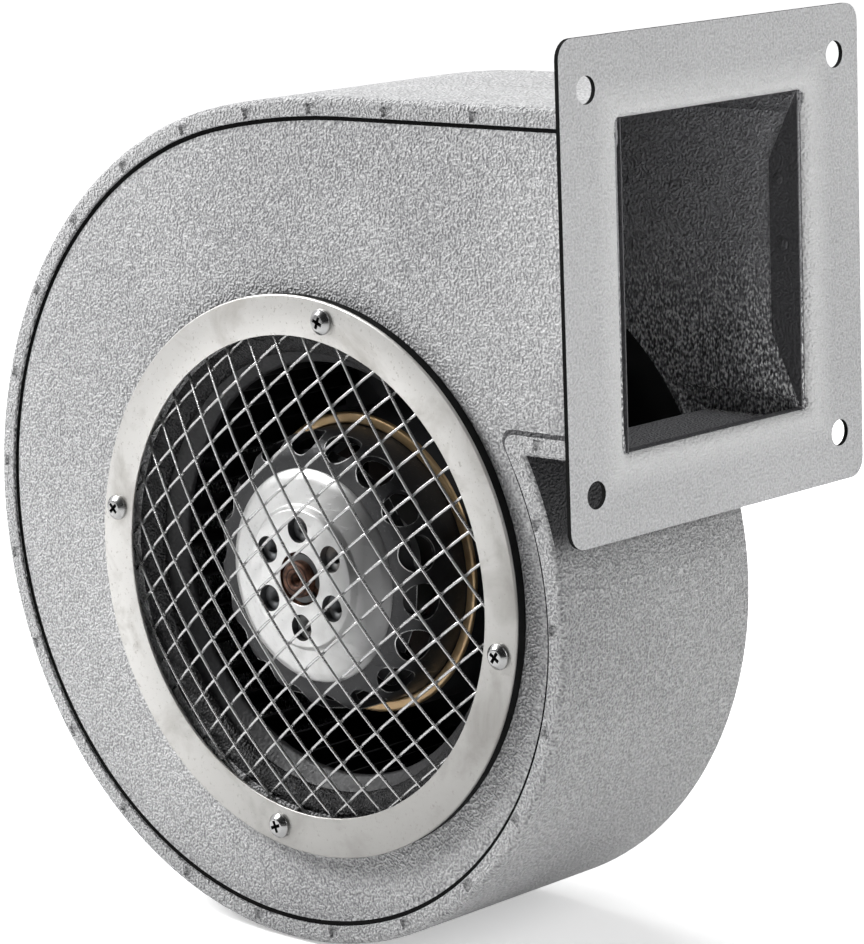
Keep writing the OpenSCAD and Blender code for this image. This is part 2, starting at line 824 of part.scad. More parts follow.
module impeller_front_ring() {
    eye_r = throat_r + nozzle_t + 1.5;
    eye_y = impeller_front - 0.7;
    rim_r = impeller_r + disc_over;
    color("silver") fan_frame() spun([[eye_r, eye_y], [eye_r + disc_t, eye_y],
        [eye_r + disc_t, impeller_front], [rim_r, impeller_front],
        [rim_r, impeller_front + disc_t], [eye_r, impeller_front + disc_t]]);
}

module disc_screws() {
    color("silver") fan_frame() around(6, disc_screw_pcr)
        translate([0, impeller_back + disc_t, 0]) rotate([180, 0, 0])
            pan_screw(2 * disc_screw_r, disc_screw_len);
}

// Small folded clips pushed over the back disc's edge.
module balance_clips() {
    clip_w = 6;
    reach = 3.6;
    color("silver") fan_frame() for (a = [20, 55, 200]) rotate([0, -a, 0])
        translate([impeller_r - 3, impeller_back, -clip_w / 2]) difference() {
            translate([0, -1, 0]) cube([5, disc_t + 2, clip_w]);
            translate([-1, -snug, -1]) cube([reach + 1, disc_t + 2 * snug, clip_w + 2]);
            translate([-1, -4, -1]) cube([reach + 1, 4, clip_w + 2]);
        }
}

scroll_wrap();
front_side_plate();
rear_side_plate();
outlet_flange();
inlet_ring();
inlet_gasket();
guard_mesh();
inlet_nozzle();
ring_screws();
ring_nuts();
motor_mount();
motor_screws();
motor_nuts();
stator_core();
stator_insulators();
stator_windings();
phase_leads();
front_bearing_outer();
rear_bearing_outer();
bearing_balls();
wave_washer();
circuit_board();
board_parts();
board_screws();
electronics_cover();
cover_screws();
cable_grommet();
earth_screw();
rotor_shaft();
rotor_hub();
hub_screws();
rotor_bell();
rotor_sleeve();
rotor_magnets();
front_bearing_inner();
rear_bearing_inner();
front_circlip();
rear_circlip();
impeller_back_disc();
impeller_blades();
impeller_front_ring();
disc_screws();
balance_clips();
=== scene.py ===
import json
from math import atan2, ceil, cos, degrees, hypot, pi, radians, sin, sqrt, tan

import bmesh
import bpy
from mathutils import Matrix, Vector

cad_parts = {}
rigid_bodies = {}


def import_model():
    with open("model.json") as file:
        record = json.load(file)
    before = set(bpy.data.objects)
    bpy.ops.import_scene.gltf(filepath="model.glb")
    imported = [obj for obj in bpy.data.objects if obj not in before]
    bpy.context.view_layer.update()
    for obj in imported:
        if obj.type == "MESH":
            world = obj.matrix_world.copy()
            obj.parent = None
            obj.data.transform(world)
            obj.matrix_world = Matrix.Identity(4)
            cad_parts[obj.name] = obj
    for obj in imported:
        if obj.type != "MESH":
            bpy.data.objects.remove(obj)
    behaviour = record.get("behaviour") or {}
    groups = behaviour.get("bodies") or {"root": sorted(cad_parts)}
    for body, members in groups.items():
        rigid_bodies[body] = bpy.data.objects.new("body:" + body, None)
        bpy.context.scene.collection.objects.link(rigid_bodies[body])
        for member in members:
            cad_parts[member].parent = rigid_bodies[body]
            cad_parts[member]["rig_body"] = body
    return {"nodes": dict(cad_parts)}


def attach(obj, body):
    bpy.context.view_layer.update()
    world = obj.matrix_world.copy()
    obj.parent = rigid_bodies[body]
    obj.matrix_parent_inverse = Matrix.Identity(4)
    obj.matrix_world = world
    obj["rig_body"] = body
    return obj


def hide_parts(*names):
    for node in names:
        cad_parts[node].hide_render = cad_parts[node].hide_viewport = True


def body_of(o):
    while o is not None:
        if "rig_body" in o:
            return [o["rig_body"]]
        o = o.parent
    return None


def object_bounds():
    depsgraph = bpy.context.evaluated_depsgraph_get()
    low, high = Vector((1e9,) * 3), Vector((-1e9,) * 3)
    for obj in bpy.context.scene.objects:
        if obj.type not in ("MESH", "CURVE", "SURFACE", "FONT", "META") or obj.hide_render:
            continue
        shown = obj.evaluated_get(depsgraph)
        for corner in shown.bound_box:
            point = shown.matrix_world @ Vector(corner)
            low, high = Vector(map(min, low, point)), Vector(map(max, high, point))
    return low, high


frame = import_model()
cad_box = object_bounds()
scene = bpy.context.scene

# ---- Sizes, in millimetres, in the fan's own frame: its axis is Y, the casing's front is y = 0

FAN = Vector((-134.0, -46.5, -103.5))
TO_ROW = Matrix.Scale(0.001, 4) @ Matrix.Translation(FAN)
CASING_DEPTH = 93.0
SHEET = 1.2
LIP = 6.3
CASING_TOP = 156.0
DUCT_FLOOR = 48.8
DUCT_END = 132.5
TOP_X = 23.0
ARC_RADIUS = (300.0, 141.0, 133.0, 118.0)
ARC_TURN = (90.0, 101.0, 209.0, 286.0)
PLATE_EDGE = 1.4
PLATE_END = 132.2
PANEL = 2.4
FRONT_PANEL = 0.7
GROOVE = 1.35
WELL_R = 96.0
WELL = 0.8
STAKE_SPACING = 33.0
STAKE = 4.0
TONGUE_STAKE = (97.7, 101.7)
MOUTH_R = 81.0
MOUTH_ROLL = 7.5
MOTOR_HOLE_R = 42.0
THROAT_R = 68.3
THROAT_Y = 12.0
OUTLET_RISE = 103.5
FLANGE_FACE = 134.0
FLANGE_SHEET = 1.5
FLANGE = (144.0, 151.0)
OPENING = (90.0, 100.0)
OPENING_CORNER = 2.0
DRAW = 4.0
DRAW_TAIL = 1.5
HOLE_OFFSET = 60.0
HOLE_R = 4.25
RING_R = 92.5
RING_BORE = 79.2
RING_FACE = -4.2
RING_SCREWS = (80.5, 170.5, 260.5, 350.5)
RING_SCREW_R = 86.0
MESH_R = 83.6
MESH_DOME = 13.2
MESH_BASE = 1.25
MESH_TURN = 38.2
WIRE = 1.0
FRONT_WIRES = (10.47, -2.1)
REAR_WIRES = (10.13, 4.4)
KINK = 0.55
HUB_R = 35.5
HUB_TUBE_R = 11.0
BOSS_R = 22.5
BOSS_Y = -4.7
BOSS_HOLES_R = 16.2
RECESS_R = 8.8
SHAFT_R = 6.0
SHAFT_END = -7.0
SHAFT_BACK = 90.6
CLIP_Y = -3.6
BELL_R = 46.05
BELL_FRONT = 1.2
SHOULDER = 8.5
PORT_R = 6.0
PORTS = 18
SLEEVE_R = 50.0
SLEEVE_FRONT = 24.3
SLEEVE_BACK = 78.0
# The side on which the studio's walls are dark
DARK_SIDE = (0.67, -0.71, 0.12)
# The powder paint's pebbles in a metre
PEBBLES = 1250.0


# ---- Shaping helpers

def polar(radius, angle):
    return Vector((radius * cos(radians(angle)), radius * sin(radians(angle))))


def arc_centre(k):
    """Centre of one of the scroll's arcs, as (x, z): each arc meets the last one smoothly."""
    centre = Vector((TOP_X, CASING_TOP - ARC_RADIUS[0]))
    for j in range(1, k + 1):
        centre += polar(ARC_RADIUS[j - 1] - ARC_RADIUS[j], ARC_TURN[j])
    return centre


def tongue(inset):
    """Where the last arc meets the duct's floor, as (x, z)."""
    c, r = arc_centre(3), ARC_RADIUS[3] - inset
    rise = DUCT_FLOOR + inset - c.y
    return Vector((c.x + sqrt(r * r - rise * rise), DUCT_FLOOR + inset))


def tongue_turn(inset):
    """Points round the tongue, from the last arc to the duct's floor: rounder further in."""
    tip, centre = tongue(inset), arc_centre(3)
    down = Vector((tip.y - centre.y, centre.x - tip.x)).normalized()
    before, after = tip + 40 * down, tip + Vector((40, 0))
    points = rounded([(*before,), (*tip, 0.3 + 0.45 * inset), (*after,)], 4)[1:-1]
    return [Vector(p) for p in points]


def rounded(corners, steps=4):
    """A profile of (radius, depth) points from corners (radius, depth, rounding)."""
    points = []
    count = len(corners)
    for i, corner in enumerate(corners):
        here = Vector(corner[:2])
        reach = corner[2] if len(corner) > 2 else 0.0
        if reach <= 0.0:
            points.append(here)
            continue
        before = (Vector(corners[i - 1][:2]) - here).normalized()
        after = (Vector(corners[(i + 1) % count][:2]) - here).normalized()
        half = before.angle(after) / 2
        back = reach / tan(half)
        centre = here + (before + after).normalized() * (reach / sin(half))
        a, b = here + before * back - centre, here + after * back - centre
        turn = atan2(a.x * b.y - a.y * b.x, a.dot(b))
        for s in range(steps + 1):
            w = turn * s / steps
            points.append(centre + Vector((a.x * cos(w) - a.y * sin(w),
                                           a.x * sin(w) + a.y * cos(w))))
    return [(p.x, p.y) for p in points]


def edges_of(geom):
    return [g for g in geom if isinstance(g, bmesh.types.BMEdge)]


def turned(profile, steps=144, closed=True, shape=None):
    """Spins a profile of (radius, depth) points about the fan's axis."""
    bm = shape or bmesh.new()
    ring = [bm.verts.new((r, y, 0.0)) for r, y in profile]
    follow = ring[1:] + ring[:1] if closed else ring[1:]
    edges = [bm.edges.new(pair) for pair in zip(ring, follow)]
    bmesh.ops.spin(bm, geom=ring + edges, cent=(0, 0, 0), axis=(0, 1, 0), angle=2 * pi,
                   steps=steps, use_merge=True)
    bmesh.ops.remove_doubles(bm, verts=bm.verts, dist=0.0005)
    if shape is None:
        bmesh.ops.recalc_face_normals(bm, faces=bm.faces)
    return bm


def moved(bm, *matrices):
    """Applies matrices to a shape, one after another."""
    for matrix in matrices:
        bmesh.ops.transform(bm, matrix=matrix, verts=bm.verts)
    return bm


def join_loops(bm, loops):
    """Makes the faces between each loop of points and the next."""
    for a, b in zip(loops, loops[1:]):
        for i in range(len(a)):
            j = (i + 1) % len(a)
            bm.faces.new((a[i], a[j], b[j], b[i]))


def mesh_of(bm, name):
    """Hands a shape over as a mesh."""
    mesh = bpy.data.meshes.new(name)
    bm.to_mesh(mesh)
    bm.free()
    return mesh


def linked(name, data):
    obj = bpy.data.objects.new(name, data)
    scene.collection.objects.link(obj)
    return obj


def smooth(mesh, sharp=38):
    """Shades a mesh smooth, apart from edges that bend by more than sharp, in degrees."""
    mesh.polygons.foreach_set("use_smooth", [True] * len(mesh.polygons))
    mesh.set_sharp_from_angle(angle=radians(sharp))


def piece(bm, name, finish, stands_for=(), body="housing", sharp=38, to_row=TO_ROW):
    """Places a shape in the row, with its finish, on its body."""
    mesh = mesh_of(moved(bm, to_row), name)
    smooth(mesh, sharp)
    mesh.materials.append(finish)
    obj = linked(name, mesh)
    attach(obj, body)
    if stands_for:
        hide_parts(*stands_for)
    return obj


def also(obj, finish, chosen):
    """Gives a second finish to the faces that chosen(centre, normal) picks, in millimetres."""
    obj.data.materials.append(finish)
    slot = len(obj.data.materials) - 1
    back = TO_ROW.inverted()
    for face in obj.data.polygons:
        if chosen(back @ face.center, face.normal):
            face.material_index = slot


def soften(obj, width):
    """Rounds a piece's sharp edges by a width in millimetres."""
    edge = obj.modifiers.new("edge", "BEVEL")
    edge.width = width / 1000
    edge.segments = 2
    edge.limit_method = "ANGLE"
    edge.angle_limit = radians(40)
    edge.harden_normals = True


def thicken(obj, sheet):
    """Gives an open surface its sheet thickness, behind its face, in millimetres."""
    skin = obj.modifiers.new("sheet", "SOLIDIFY")
    skin.thickness = sheet / 1000
    skin.offset = -1
    skin.use_even_offset = True
    return skin


def cut(obj, tool_bm, name):
    """Cuts one shape out of a piece."""
    moved(tool_bm, TO_ROW)
    bmesh.ops.recalc_face_normals(tool_bm, faces=tool_bm.faces)
    tool = linked(name, mesh_of(tool_bm, name))
    boolean = obj.modifiers.new("cut", "BOOLEAN")
    boolean.operation = "DIFFERENCE"
    boolean.solver = "EXACT"
    boolean.use_self = True
    boolean.object = tool
    bpy.context.view_layer.update()
    ready = obj.evaluated_get(bpy.context.evaluated_depsgraph_get())
    carved = bpy.data.meshes.new_from_object(ready)
    obj.modifiers.clear()
    old = obj.data
    obj.data = carved
    bpy.data.meshes.remove(old)
    bpy.data.objects.remove(tool)
    smooth(carved)


def around(bm_part, count, radius, first, shape):
    """Copies a small shape round the fan's axis into a larger one."""
    for i in range(count):
        place = (Matrix.Rotation(-radians(first + i * 360 / count), 4, "Y")
                 @ Matrix.Translation((radius, 0, 0)))
        add(moved(bm_part.copy(), place), shape)
    bm_part.free()


def add(part, shape):
    """Moves one shape's mesh into another."""
    mesh = mesh_of(part, "part")
    shape.from_mesh(mesh)
    bpy.data.meshes.remove(mesh)


def drill(radius, length, segments, *matrices):
    """A round bar along Z, about the origin, then turned and moved: it cuts a hole."""
    bm = bmesh.new()
    bmesh.ops.create_cone(bm, cap_ends=True, segments=segments, radius1=radius, radius2=radius,
                          depth=length)
    return moved(bm, *matrices)


def at_x(mm):
    """A distance along X from the fan's axis, in millimetres, as a place in the row."""
    return (mm + FAN.x) / 1000


def at_z(mm):
    """A height above the fan's axis, in millimetres, as a place in the row."""
    return (mm + FAN.z) / 1000


# ---- Finishes

def group(name, inputs, outputs):
    """An empty shader group with named sockets: (name, type, default)."""
    tree = bpy.data.node_groups.new(name, "ShaderNodeTree")
    for label, kind, value in inputs:
        socket = tree.interface.new_socket(name=label, in_out="INPUT", socket_type=kind)
        socket.default_value = value
    for label, kind in outputs:
        tree.interface.new_socket(name=label, in_out="OUTPUT", socket_type=kind)
    return tree, tree.nodes.new("NodeGroupInput"), tree.nodes.new("NodeGroupOutput")


def feed(tree, value, socket):
    """Gives a socket another socket's value, a plain one, or a colour of three numbers."""
    if isinstance(value, bpy.types.NodeSocket):
        tree.links.new(value, socket)
    elif socket.type == "RGBA":
        socket.default_value = (*value, 1.0)
    else:
        socket.default_value = value


def noise(tree, vector, scale, detail=2.0, roughness=0.5, distortion=0.0):
    node = tree.nodes.new("ShaderNodeTexNoise")
    node.inputs["Scale"].default_value = scale
    node.inputs["Detail"].default_value = detail
    node.inputs["Roughness"].default_value = roughness
    node.inputs["Distortion"].default_value = distortion
    tree.links.new(vector, node.inputs["Vector"])
    return node.outputs["Fac"]


def spread(tree, value, low, high, to_low=0.0, to_high=1.0):
    """Stretches a value between two limits."""
    node = tree.nodes.new("ShaderNodeMapRange")
    node.inputs["From Min"].default_value = low
    node.inputs["From Max"].default_value = high
    node.inputs["To Min"].default_value = to_low
    node.inputs["To Max"].default_value = to_high
    tree.links.new(value, node.inputs["Value"])
    return node.outputs["Result"]


def blend_colour(tree, factor, a, b):
    """Mixes two colours, each a socket or a plain colour."""
    node = tree.nodes.new("ShaderNodeMix")
    node.data_type = "RGBA"
    for socket, value in ((0, factor), (6, a), (7, b)):
        feed(tree, value, node.inputs[socket])
    return node.outputs[2]


def math(tree, operation, a, b=0.0):
    node = tree.nodes.new("ShaderNodeMath")
    node.operation = operation
    feed(tree, a, node.inputs[0])
    feed(tree, b, node.inputs[1])
    return node.outputs[0]


def product(tree, *factors):
    result = factors[0]
    for factor in factors[1:]:
        result = math(tree, "MULTIPLY", result, factor)
    return result


def between(tree, operation, a, b):
    """The dot product of two vectors, or the distance between them."""
    node = tree.nodes.new("ShaderNodeVectorMath")
    node.operation = operation
    feed(tree, a, node.inputs[0])
    feed(tree, b, node.inputs[1])
    return node.outputs["Value"]


def bump(tree, height, strength, distance):
    node = tree.nodes.new("ShaderNodeBump")
    node.inputs["Strength"].default_value = strength
    feed(tree, distance, node.inputs["Distance"])
    tree.links.new(height, node.inputs["Height"])
    return node.outputs["Normal"]


def object_place(tree, scale=(1, 1, 1)):
    place = tree.nodes.new("ShaderNodeTexCoord").outputs["Object"]
    if scale == (1, 1, 1):
        return place
    mapping = tree.nodes.new("ShaderNodeMapping")
    mapping.inputs["Scale"].default_value = scale
    tree.links.new(place, mapping.inputs["Vector"])
    return mapping.outputs["Vector"]


def axes_of(tree):
    axes = tree.nodes.new("ShaderNodeSeparateXYZ")
    tree.links.new(object_place(tree), axes.inputs[0])
    return axes.outputs


def make_powder_coat():
    """The pebbled skin of baked powder paint: small soft cells with uneven depth."""
    tree, given, result = group(
        "powder coat",
        [("Cells", "NodeSocketFloat", PEBBLES), ("Depth", "NodeSocketFloat", 1.0)],
        [("Normal", "NodeSocketVector"), ("Tone", "NodeSocketFloat")])
    place = object_place(tree)
    cells = noise(tree, place, 1.0, 0.5)
    tree.links.new(given.outputs["Cells"], cells.node.inputs["Scale"])
    height = spread(tree, cells, 0.30, 0.70)
    patches = spread(tree, noise(tree, place, 9.0, 3.0), 0.35, 0.65)
    lift = math(tree, "MULTIPLY", given.outputs["Depth"], 0.0013)
    tree.links.new(bump(tree, cells, 1.0, lift), result.inputs["Normal"])
    tone = math(tree, "ADD", product(tree, patches, 0.25), product(tree, height, 0.75))
    tree.links.new(tone, result.inputs["Tone"])
    return tree


def make_wear():
    """Handling marks: fine specks, faint stains and hairline scratches."""
    tree, given, result = group(
        "wear",
        [("Colour", "NodeSocketColor", (0.5, 0.5, 0.5, 1.0)),
         ("Stain", "NodeSocketColor", (0.3, 0.3, 0.3, 1.0)),
         ("Amount", "NodeSocketFloat", 0.3)],
        [("Colour", "NodeSocketColor"), ("Rough", "NodeSocketFloat"),
         ("Height", "NodeSocketFloat")])
    place = object_place(tree)
    specks = spread(tree, noise(tree, place, 900.0, 2.0), 0.62, 0.74)
    stains = spread(tree, noise(tree, place, 45.0, 5.0, 0.6, 0.6), 0.5, 0.72)
    lines = spread(tree, noise(tree, object_place(tree, (260.0, 260.0, 1500.0)), 1.0, 3.0),
                   0.6, 0.75)
    marks = math(tree, "MAXIMUM", product(tree, specks, 0.7), product(tree, stains, 0.8))
    marks = product(tree, marks, given.outputs["Amount"])
    tree.links.new(blend_colour(tree, marks, given.outputs["Colour"], given.outputs["Stain"]),
                   result.inputs["Colour"])
    tree.links.new(product(tree, math(tree, "ADD", stains, lines), 0.12), result.inputs["Rough"])
    tree.links.new(math(tree, "SUBTRACT", specks, lines), result.inputs["Height"])
    return tree


powder_coat = make_powder_coat()
wear = make_wear()


def finish(name, roughness, metallic=0.0, specular=0.5):
    material = bpy.data.materials.new(name)
    material.use_nodes = True
    tree = material.node_tree
    shader = tree.nodes["Principled BSDF"]
    shader.inputs["Roughness"].default_value = roughness
    shader.inputs["Metallic"].default_value = metallic
    shader.inputs["Specular IOR Level"].default_value = specular
    return material, tree, shader


def painted(name, colour, shade, roughness=0.42, cells=PEBBLES, depth=1.0):
    """Powder-coated sheet steel."""
    material, tree, shader = finish(name, roughness)
    coat = tree.nodes.new("ShaderNodeGroup")
    coat.node_tree = powder_coat
    coat.inputs["Cells"].default_value = cells
    coat.inputs["Depth"].default_value = depth
    tree.links.new(blend_colour(tree, coat.outputs["Tone"], shade, colour),
                   shader.inputs["Base Color"])
    tree.links.new(spread(tree, coat.outputs["Tone"], 0.0, 1.0, roughness + 0.08,
                          roughness - 0.06), shader.inputs["Roughness"])
    tree.links.new(coat.outputs["Normal"], shader.inputs["Normal"])
    return material


def over_colour(material, factor, colour):
    """Lays a colour over a finished material's own where a factor says so."""
    tree = material.node_tree
    base = tree.nodes["Principled BSDF"].inputs["Base Color"]
    tree.links.new(blend_colour(tree, factor, base.links[0].from_socket, colour), base)


def painted_highlight_round_opening(material):
    """Painted highlight: the flange's paint is paler towards the opening, standing in for light on
    the drawn edge.
    """
    tree = material.node_tree
    _, y, z = axes_of(tree)
    past = math(tree, "MAXIMUM",
                math(tree, "SUBTRACT", math(tree, "ABSOLUTE", y), OPENING[0] / 2000),
                math(tree, "SUBTRACT", math(tree, "ABSOLUTE", z), OPENING[1] / 2000))
    over_colour(material, spread(tree, past, 0.0015, 0.012, 0.8, 0.0), (0.86, 0.86, 0.86))


def top_seam(material):
    """A fine seam along the duct's top, at mid-depth."""
    tree = material.node_tree
    x, y, z = axes_of(tree)
    line = math(tree, "LESS_THAN", math(tree, "ABSOLUTE", y), 0.00022)
    high = math(tree, "GREATER_THAN", z, at_z(CASING_TOP - 1.0))
    near = math(tree, "GREATER_THAN", x, at_x(31.0))
    over_colour(material, product(tree, line, high, near), (0.12, 0.12, 0.12))


def painted_shade_under_duct(material):
    """Painted shade: the corner between the scroll and the duct's underside is darkened."""
    tree = material.node_tree
    x, y, z = axes_of(tree)
    shade_rise = spread(tree, z, at_z(16.0), at_z(25.0))
    under = math(tree, "LESS_THAN", z, at_z(DUCT_FLOOR + 0.6))
    right = math(tree, "GREATER_THAN", x, at_x(80.0))
    inward = math(tree, "LESS_THAN", math(tree, "ABSOLUTE", y), (CASING_DEPTH / 2 - SHEET) / 1000)
    over_colour(material, product(tree, shade_rise, under, right, inward), (0.035, 0.035, 0.038))


def painted_glints_low_in_duct(material):
    """Painted glints: low in the duct, bright and dark flecks of colour stand in for the paint's
    pebbles catching light.
    """
    tree = material.node_tree
    _, y, z = axes_of(tree)
    low = spread(tree, z, at_z(74.0), at_z(112.0), 1.0, 0.0)
    on_plate = math(tree, "GREATER_THAN", math(tree, "ABSOLUTE", y), 0.041)
    place = object_place(tree, (1300.0, 1300.0, 800.0))
    for start, end, colour in ((0.48, 0.36, (0.09, 0.09, 0.092)), (0.55, 0.62, (1.0, 1.0, 1.0))):
        cells = spread(tree, noise(tree, place, 1.0, 0.5), start, end)
        over_colour(material, product(tree, cells, low, on_plate), colour)


def worn_rims(material):
    """The finish is worn off the sharp edges, which shine."""
    tree = material.node_tree
    turn = tree.nodes.new("ShaderNodeBevel")
    turn.samples = 6
    turn.inputs["Radius"].default_value = 0.0007
    flat = tree.nodes.new("ShaderNodeNewGeometry").outputs["Normal"]
    bend = between(tree, "DOT_PRODUCT", turn.outputs["Normal"], flat)
    worn = spread(tree, bend, 0.80, 0.95, 1.0, 0.0)
    patchy = spread(tree, noise(tree, object_place(tree), 160.0, 3.0), 0.42, 0.56)
    over_colour(material, product(tree, worn, patchy), (0.85, 0.85, 0.85))


def painted_shade_on_hub(material):
    """Painted shade: one side of the hub is darkened."""
    tree = material.node_tree
    x, _, _ = axes_of(tree)
    dull = spread(tree, x, at_x(6.0), at_x(26.0), 0.0, 0.9)
    over_colour(material, dull, (0.13, 0.13, 0.132))


def lower_right_shade(material):
    """Painted shade: the ring is darker at its lower right."""
    tree = material.node_tree
    x, _, z = axes_of(tree)
    across = math(tree, "SUBTRACT", product(tree, x, 0.55), product(tree, z, 0.83))
    start = 0.55 * at_x(0.0) - 0.83 * at_z(0.0)
    over_colour(material, spread(tree, across, start - 0.03, start + 0.09, 0.0, 0.75),
                (0.27, 0.265, 0.255))


def bare(name, colour, stain, roughness=0.35, metallic=0.9, amount=0.35, height=0.15,
         grain=None):
    """Bare or plated metal, rubber or plastic with handling marks and, if asked, a grain."""
    material, tree, shader = finish(name, roughness, metallic)
    marks = tree.nodes.new("ShaderNodeGroup")
    marks.node_tree = wear
    marks.inputs["Colour"].default_value = (*colour, 1.0)
    marks.inputs["Stain"].default_value = (*stain, 1.0)
    marks.inputs["Amount"].default_value = amount
    tree.links.new(marks.outputs["Colour"], shader.inputs["Base Color"])
    tree.links.new(math(tree, "ADD", marks.outputs["Rough"], roughness),
                   shader.inputs["Roughness"])
    rise = marks.outputs["Height"]
    if grain:
        rise = math(tree, "ADD", rise, noise(tree, object_place(tree, grain), 1.0, 3.0))
    tree.links.new(bump(tree, rise, height, 0.0004), shader.inputs["Normal"])
    return material


def moulded(name, colour, roughness=0.5, scale=1500.0, shine=0.5):
    """Moulded plastic or rubber with a fine grain."""
    material, tree, shader = finish(name, roughness, specular=shine)
    place = object_place(tree)
    grain = noise(tree, place, scale, 2.0)
    cloud = spread(tree, noise(tree, place, 60.0, 3.0), 0.35, 0.65)
    pale = tuple(min(1.0, c * 1.35 + 0.002) for c in colour)
    tree.links.new(blend_colour(tree, cloud, colour, pale), shader.inputs["Base Color"])
    tree.links.new(bump(tree, grain, 0.2, 0.0002), shader.inputs["Normal"])
    return material


def passivated(name):
    """Yellow passivated steel: straw, tan and olive, drifting round the sleeve."""
    material, tree, shader = finish(name, 0.36, 0.75)
    place = object_place(tree)
    drift = spread(tree, noise(tree, place, 14.0, 3.0, 0.5, 0.8), 0.36, 0.64)
    fine = spread(tree, noise(tree, place, 160.0, 4.0), 0.35, 0.65)
    warm = blend_colour(tree, drift, (0.50, 0.34, 0.18), (0.30, 0.23, 0.11))
    tree.links.new(blend_colour(tree, product(tree, fine, 0.5), warm, (0.62, 0.46, 0.28)),
                   shader.inputs["Base Color"])
    tree.links.new(bump(tree, fine, 0.15, 0.0003), shader.inputs["Normal"])
    return material


def rusted(name):
    """A steel shaft end, brown with rust and turned in fine rings."""
    material, tree, shader = finish(name, 0.5, 0.55)
    place = object_place(tree)
    patches = spread(tree, noise(tree, place, 260.0, 5.0, 0.6, 0.5), 0.38, 0.62)
    ripple = noise(tree, place, 900.0, 3.0)
    rust = blend_colour(tree, patches, (0.035, 0.015, 0.01), (0.17, 0.08, 0.05))
    reach = between(tree, "DISTANCE", object_place(tree, (1, 0, 1)), (at_x(0.0), 0.0, at_z(0.0)))
    ripples = math(tree, "SINE", product(tree, reach, 2 * pi / 0.0016))
    turned_rings = spread(tree, ripples, 0.2, 0.9, 0.0, 0.8)
    tree.links.new(blend_colour(tree, turned_rings, rust, (0.01, 0.005, 0.004)),
                   shader.inputs["Base Color"])
    tree.links.new(spread(tree, patches, 0.0, 1.0, 0.7, 0.38), shader.inputs["Roughness"])
    tree.links.new(bump(tree, ripple, 0.35, 0.0003), shader.inputs["Normal"])
    return material


casing_paint = painted("casing paint", (0.72, 0.72, 0.725), (0.24, 0.24, 0.25))
wrap_paint = painted("wrap paint", (0.78, 0.78, 0.785), (0.28, 0.28, 0.29), depth=1.5)
flange_paint = painted("flange paint", (0.76, 0.76, 0.77), (0.51, 0.51, 0.52), depth=0.6)
# Painted highlight round the flange's opening.
painted_highlight_round_opening(flange_paint)
top_seam(wrap_paint)
# Painted shade in the corner under the duct.
painted_shade_under_duct(wrap_paint)
# Painted shade: the casing's insides have its paint made darker.
shaded_inner_paint = painted("paint inside the scroll, darkened as painted shade", (0.52, 0.52, 0.54), (0.26, 0.26, 0.27), 0.27)
# Painted glints low inside the duct.
painted_glints_low_in_duct(shaded_inner_paint)
# Painted shade: the flange's tabs and the walls of its opening get a dark paint.
shaded_tab_paint = painted("paint of the tabs, darkened as painted shade", (0.12, 0.12, 0.125), (0.09, 0.09, 0.095), 0.4, depth=0.4)
# Painted shade for the groove by the tongue.
groove_shade_paint = painted("painted shade in the groove by the tongue", (0.13, 0.13, 0.135), (0.07, 0.07, 0.073), 0.5)
# Painted shade: the mouth's inside gets a near-black paint.
shaded_mouth_paint = painted("paint of the mouth, darkened as painted shade", (0.035, 0.035, 0.037), (0.012, 0.012, 0.013), 0.5)
# The nozzle's own dark grey, made darker still as painted shade.
dark_shaded_nozzle_paint = painted("dark nozzle paint, darkened further as painted shade", (0.03, 0.03, 0.032), (0.022, 0.022, 0.024), 0.5, 900.0, 0.15)
# Painted shade: black for the groove beside the lips, the lips' sheared edges and the screws' cross
# recesses.
black_painted_shade = moulded("sealant in the seam", (0.003, 0.003, 0.003), 0.8, shine=0.1)
# Black for the flange's sheared outer edge, and painted shade on the walls of its holes.
edge_black_and_hole_shade = moulded("black flange edge and painted shade in its holes", (0.003, 0.003, 0.003), 0.8, shine=0.1)
well_black = moulded("black motor well", (0.008, 0.008, 0.009), 0.6)
stainless = bare("satin stainless", (0.65, 0.64, 0.62), (0.24, 0.22, 0.19), 0.38, 0.8, 0.7,
                 0.12, (700.0, 40.0, 90.0))
# Painted shade at the ring's lower right.
lower_right_shade(stainless)
wire_steel = bare("wire steel", (0.58, 0.58, 0.58), (0.2, 0.2, 0.2), 0.27, 0.8, 0.3, 0.2)
screw_metal = bare("bright zinc", (0.42, 0.42, 0.42), (0.3, 0.3, 0.28), 0.2, 1.0, 0.2, 0.08)
plated = bare("dull zinc", (0.55, 0.56, 0.57), (0.3, 0.29, 0.26), 0.4, 0.85, 0.4, 0.15)
hub_metal = bare("cast aluminium", (0.78, 0.78, 0.775), (0.34, 0.335, 0.32), 0.36, 0.75, 0.5,
                 0.12)
# Painted shade on one side of the hub.
painted_shade_on_hub(hub_metal)
bell_metal = bare("dark casting", (0.03, 0.03, 0.032), (0.09, 0.09, 0.09), 0.45, 0.35, 0.5, 0.3)
worn_rims(bell_metal)
sleeve_metal = passivated("yellow passivated steel")
shaft_metal = rusted("rusted shaft steel")
bearing_metal = bare("bearing steel", (0.7, 0.71, 0.72), (0.4, 0.38, 0.35), 0.2, 1.0, 0.15, 0.05)
# Dark iron for the stator, screws and clips, also used as painted shade on the walls of the hub's
# holes.
iron_and_hole_shade = bare("stator iron, also painted shade in the hub's holes", (0.13, 0.135, 0.14), (0.2, 0.14, 0.09), 0.5, 0.7, 0.5, 0.2)
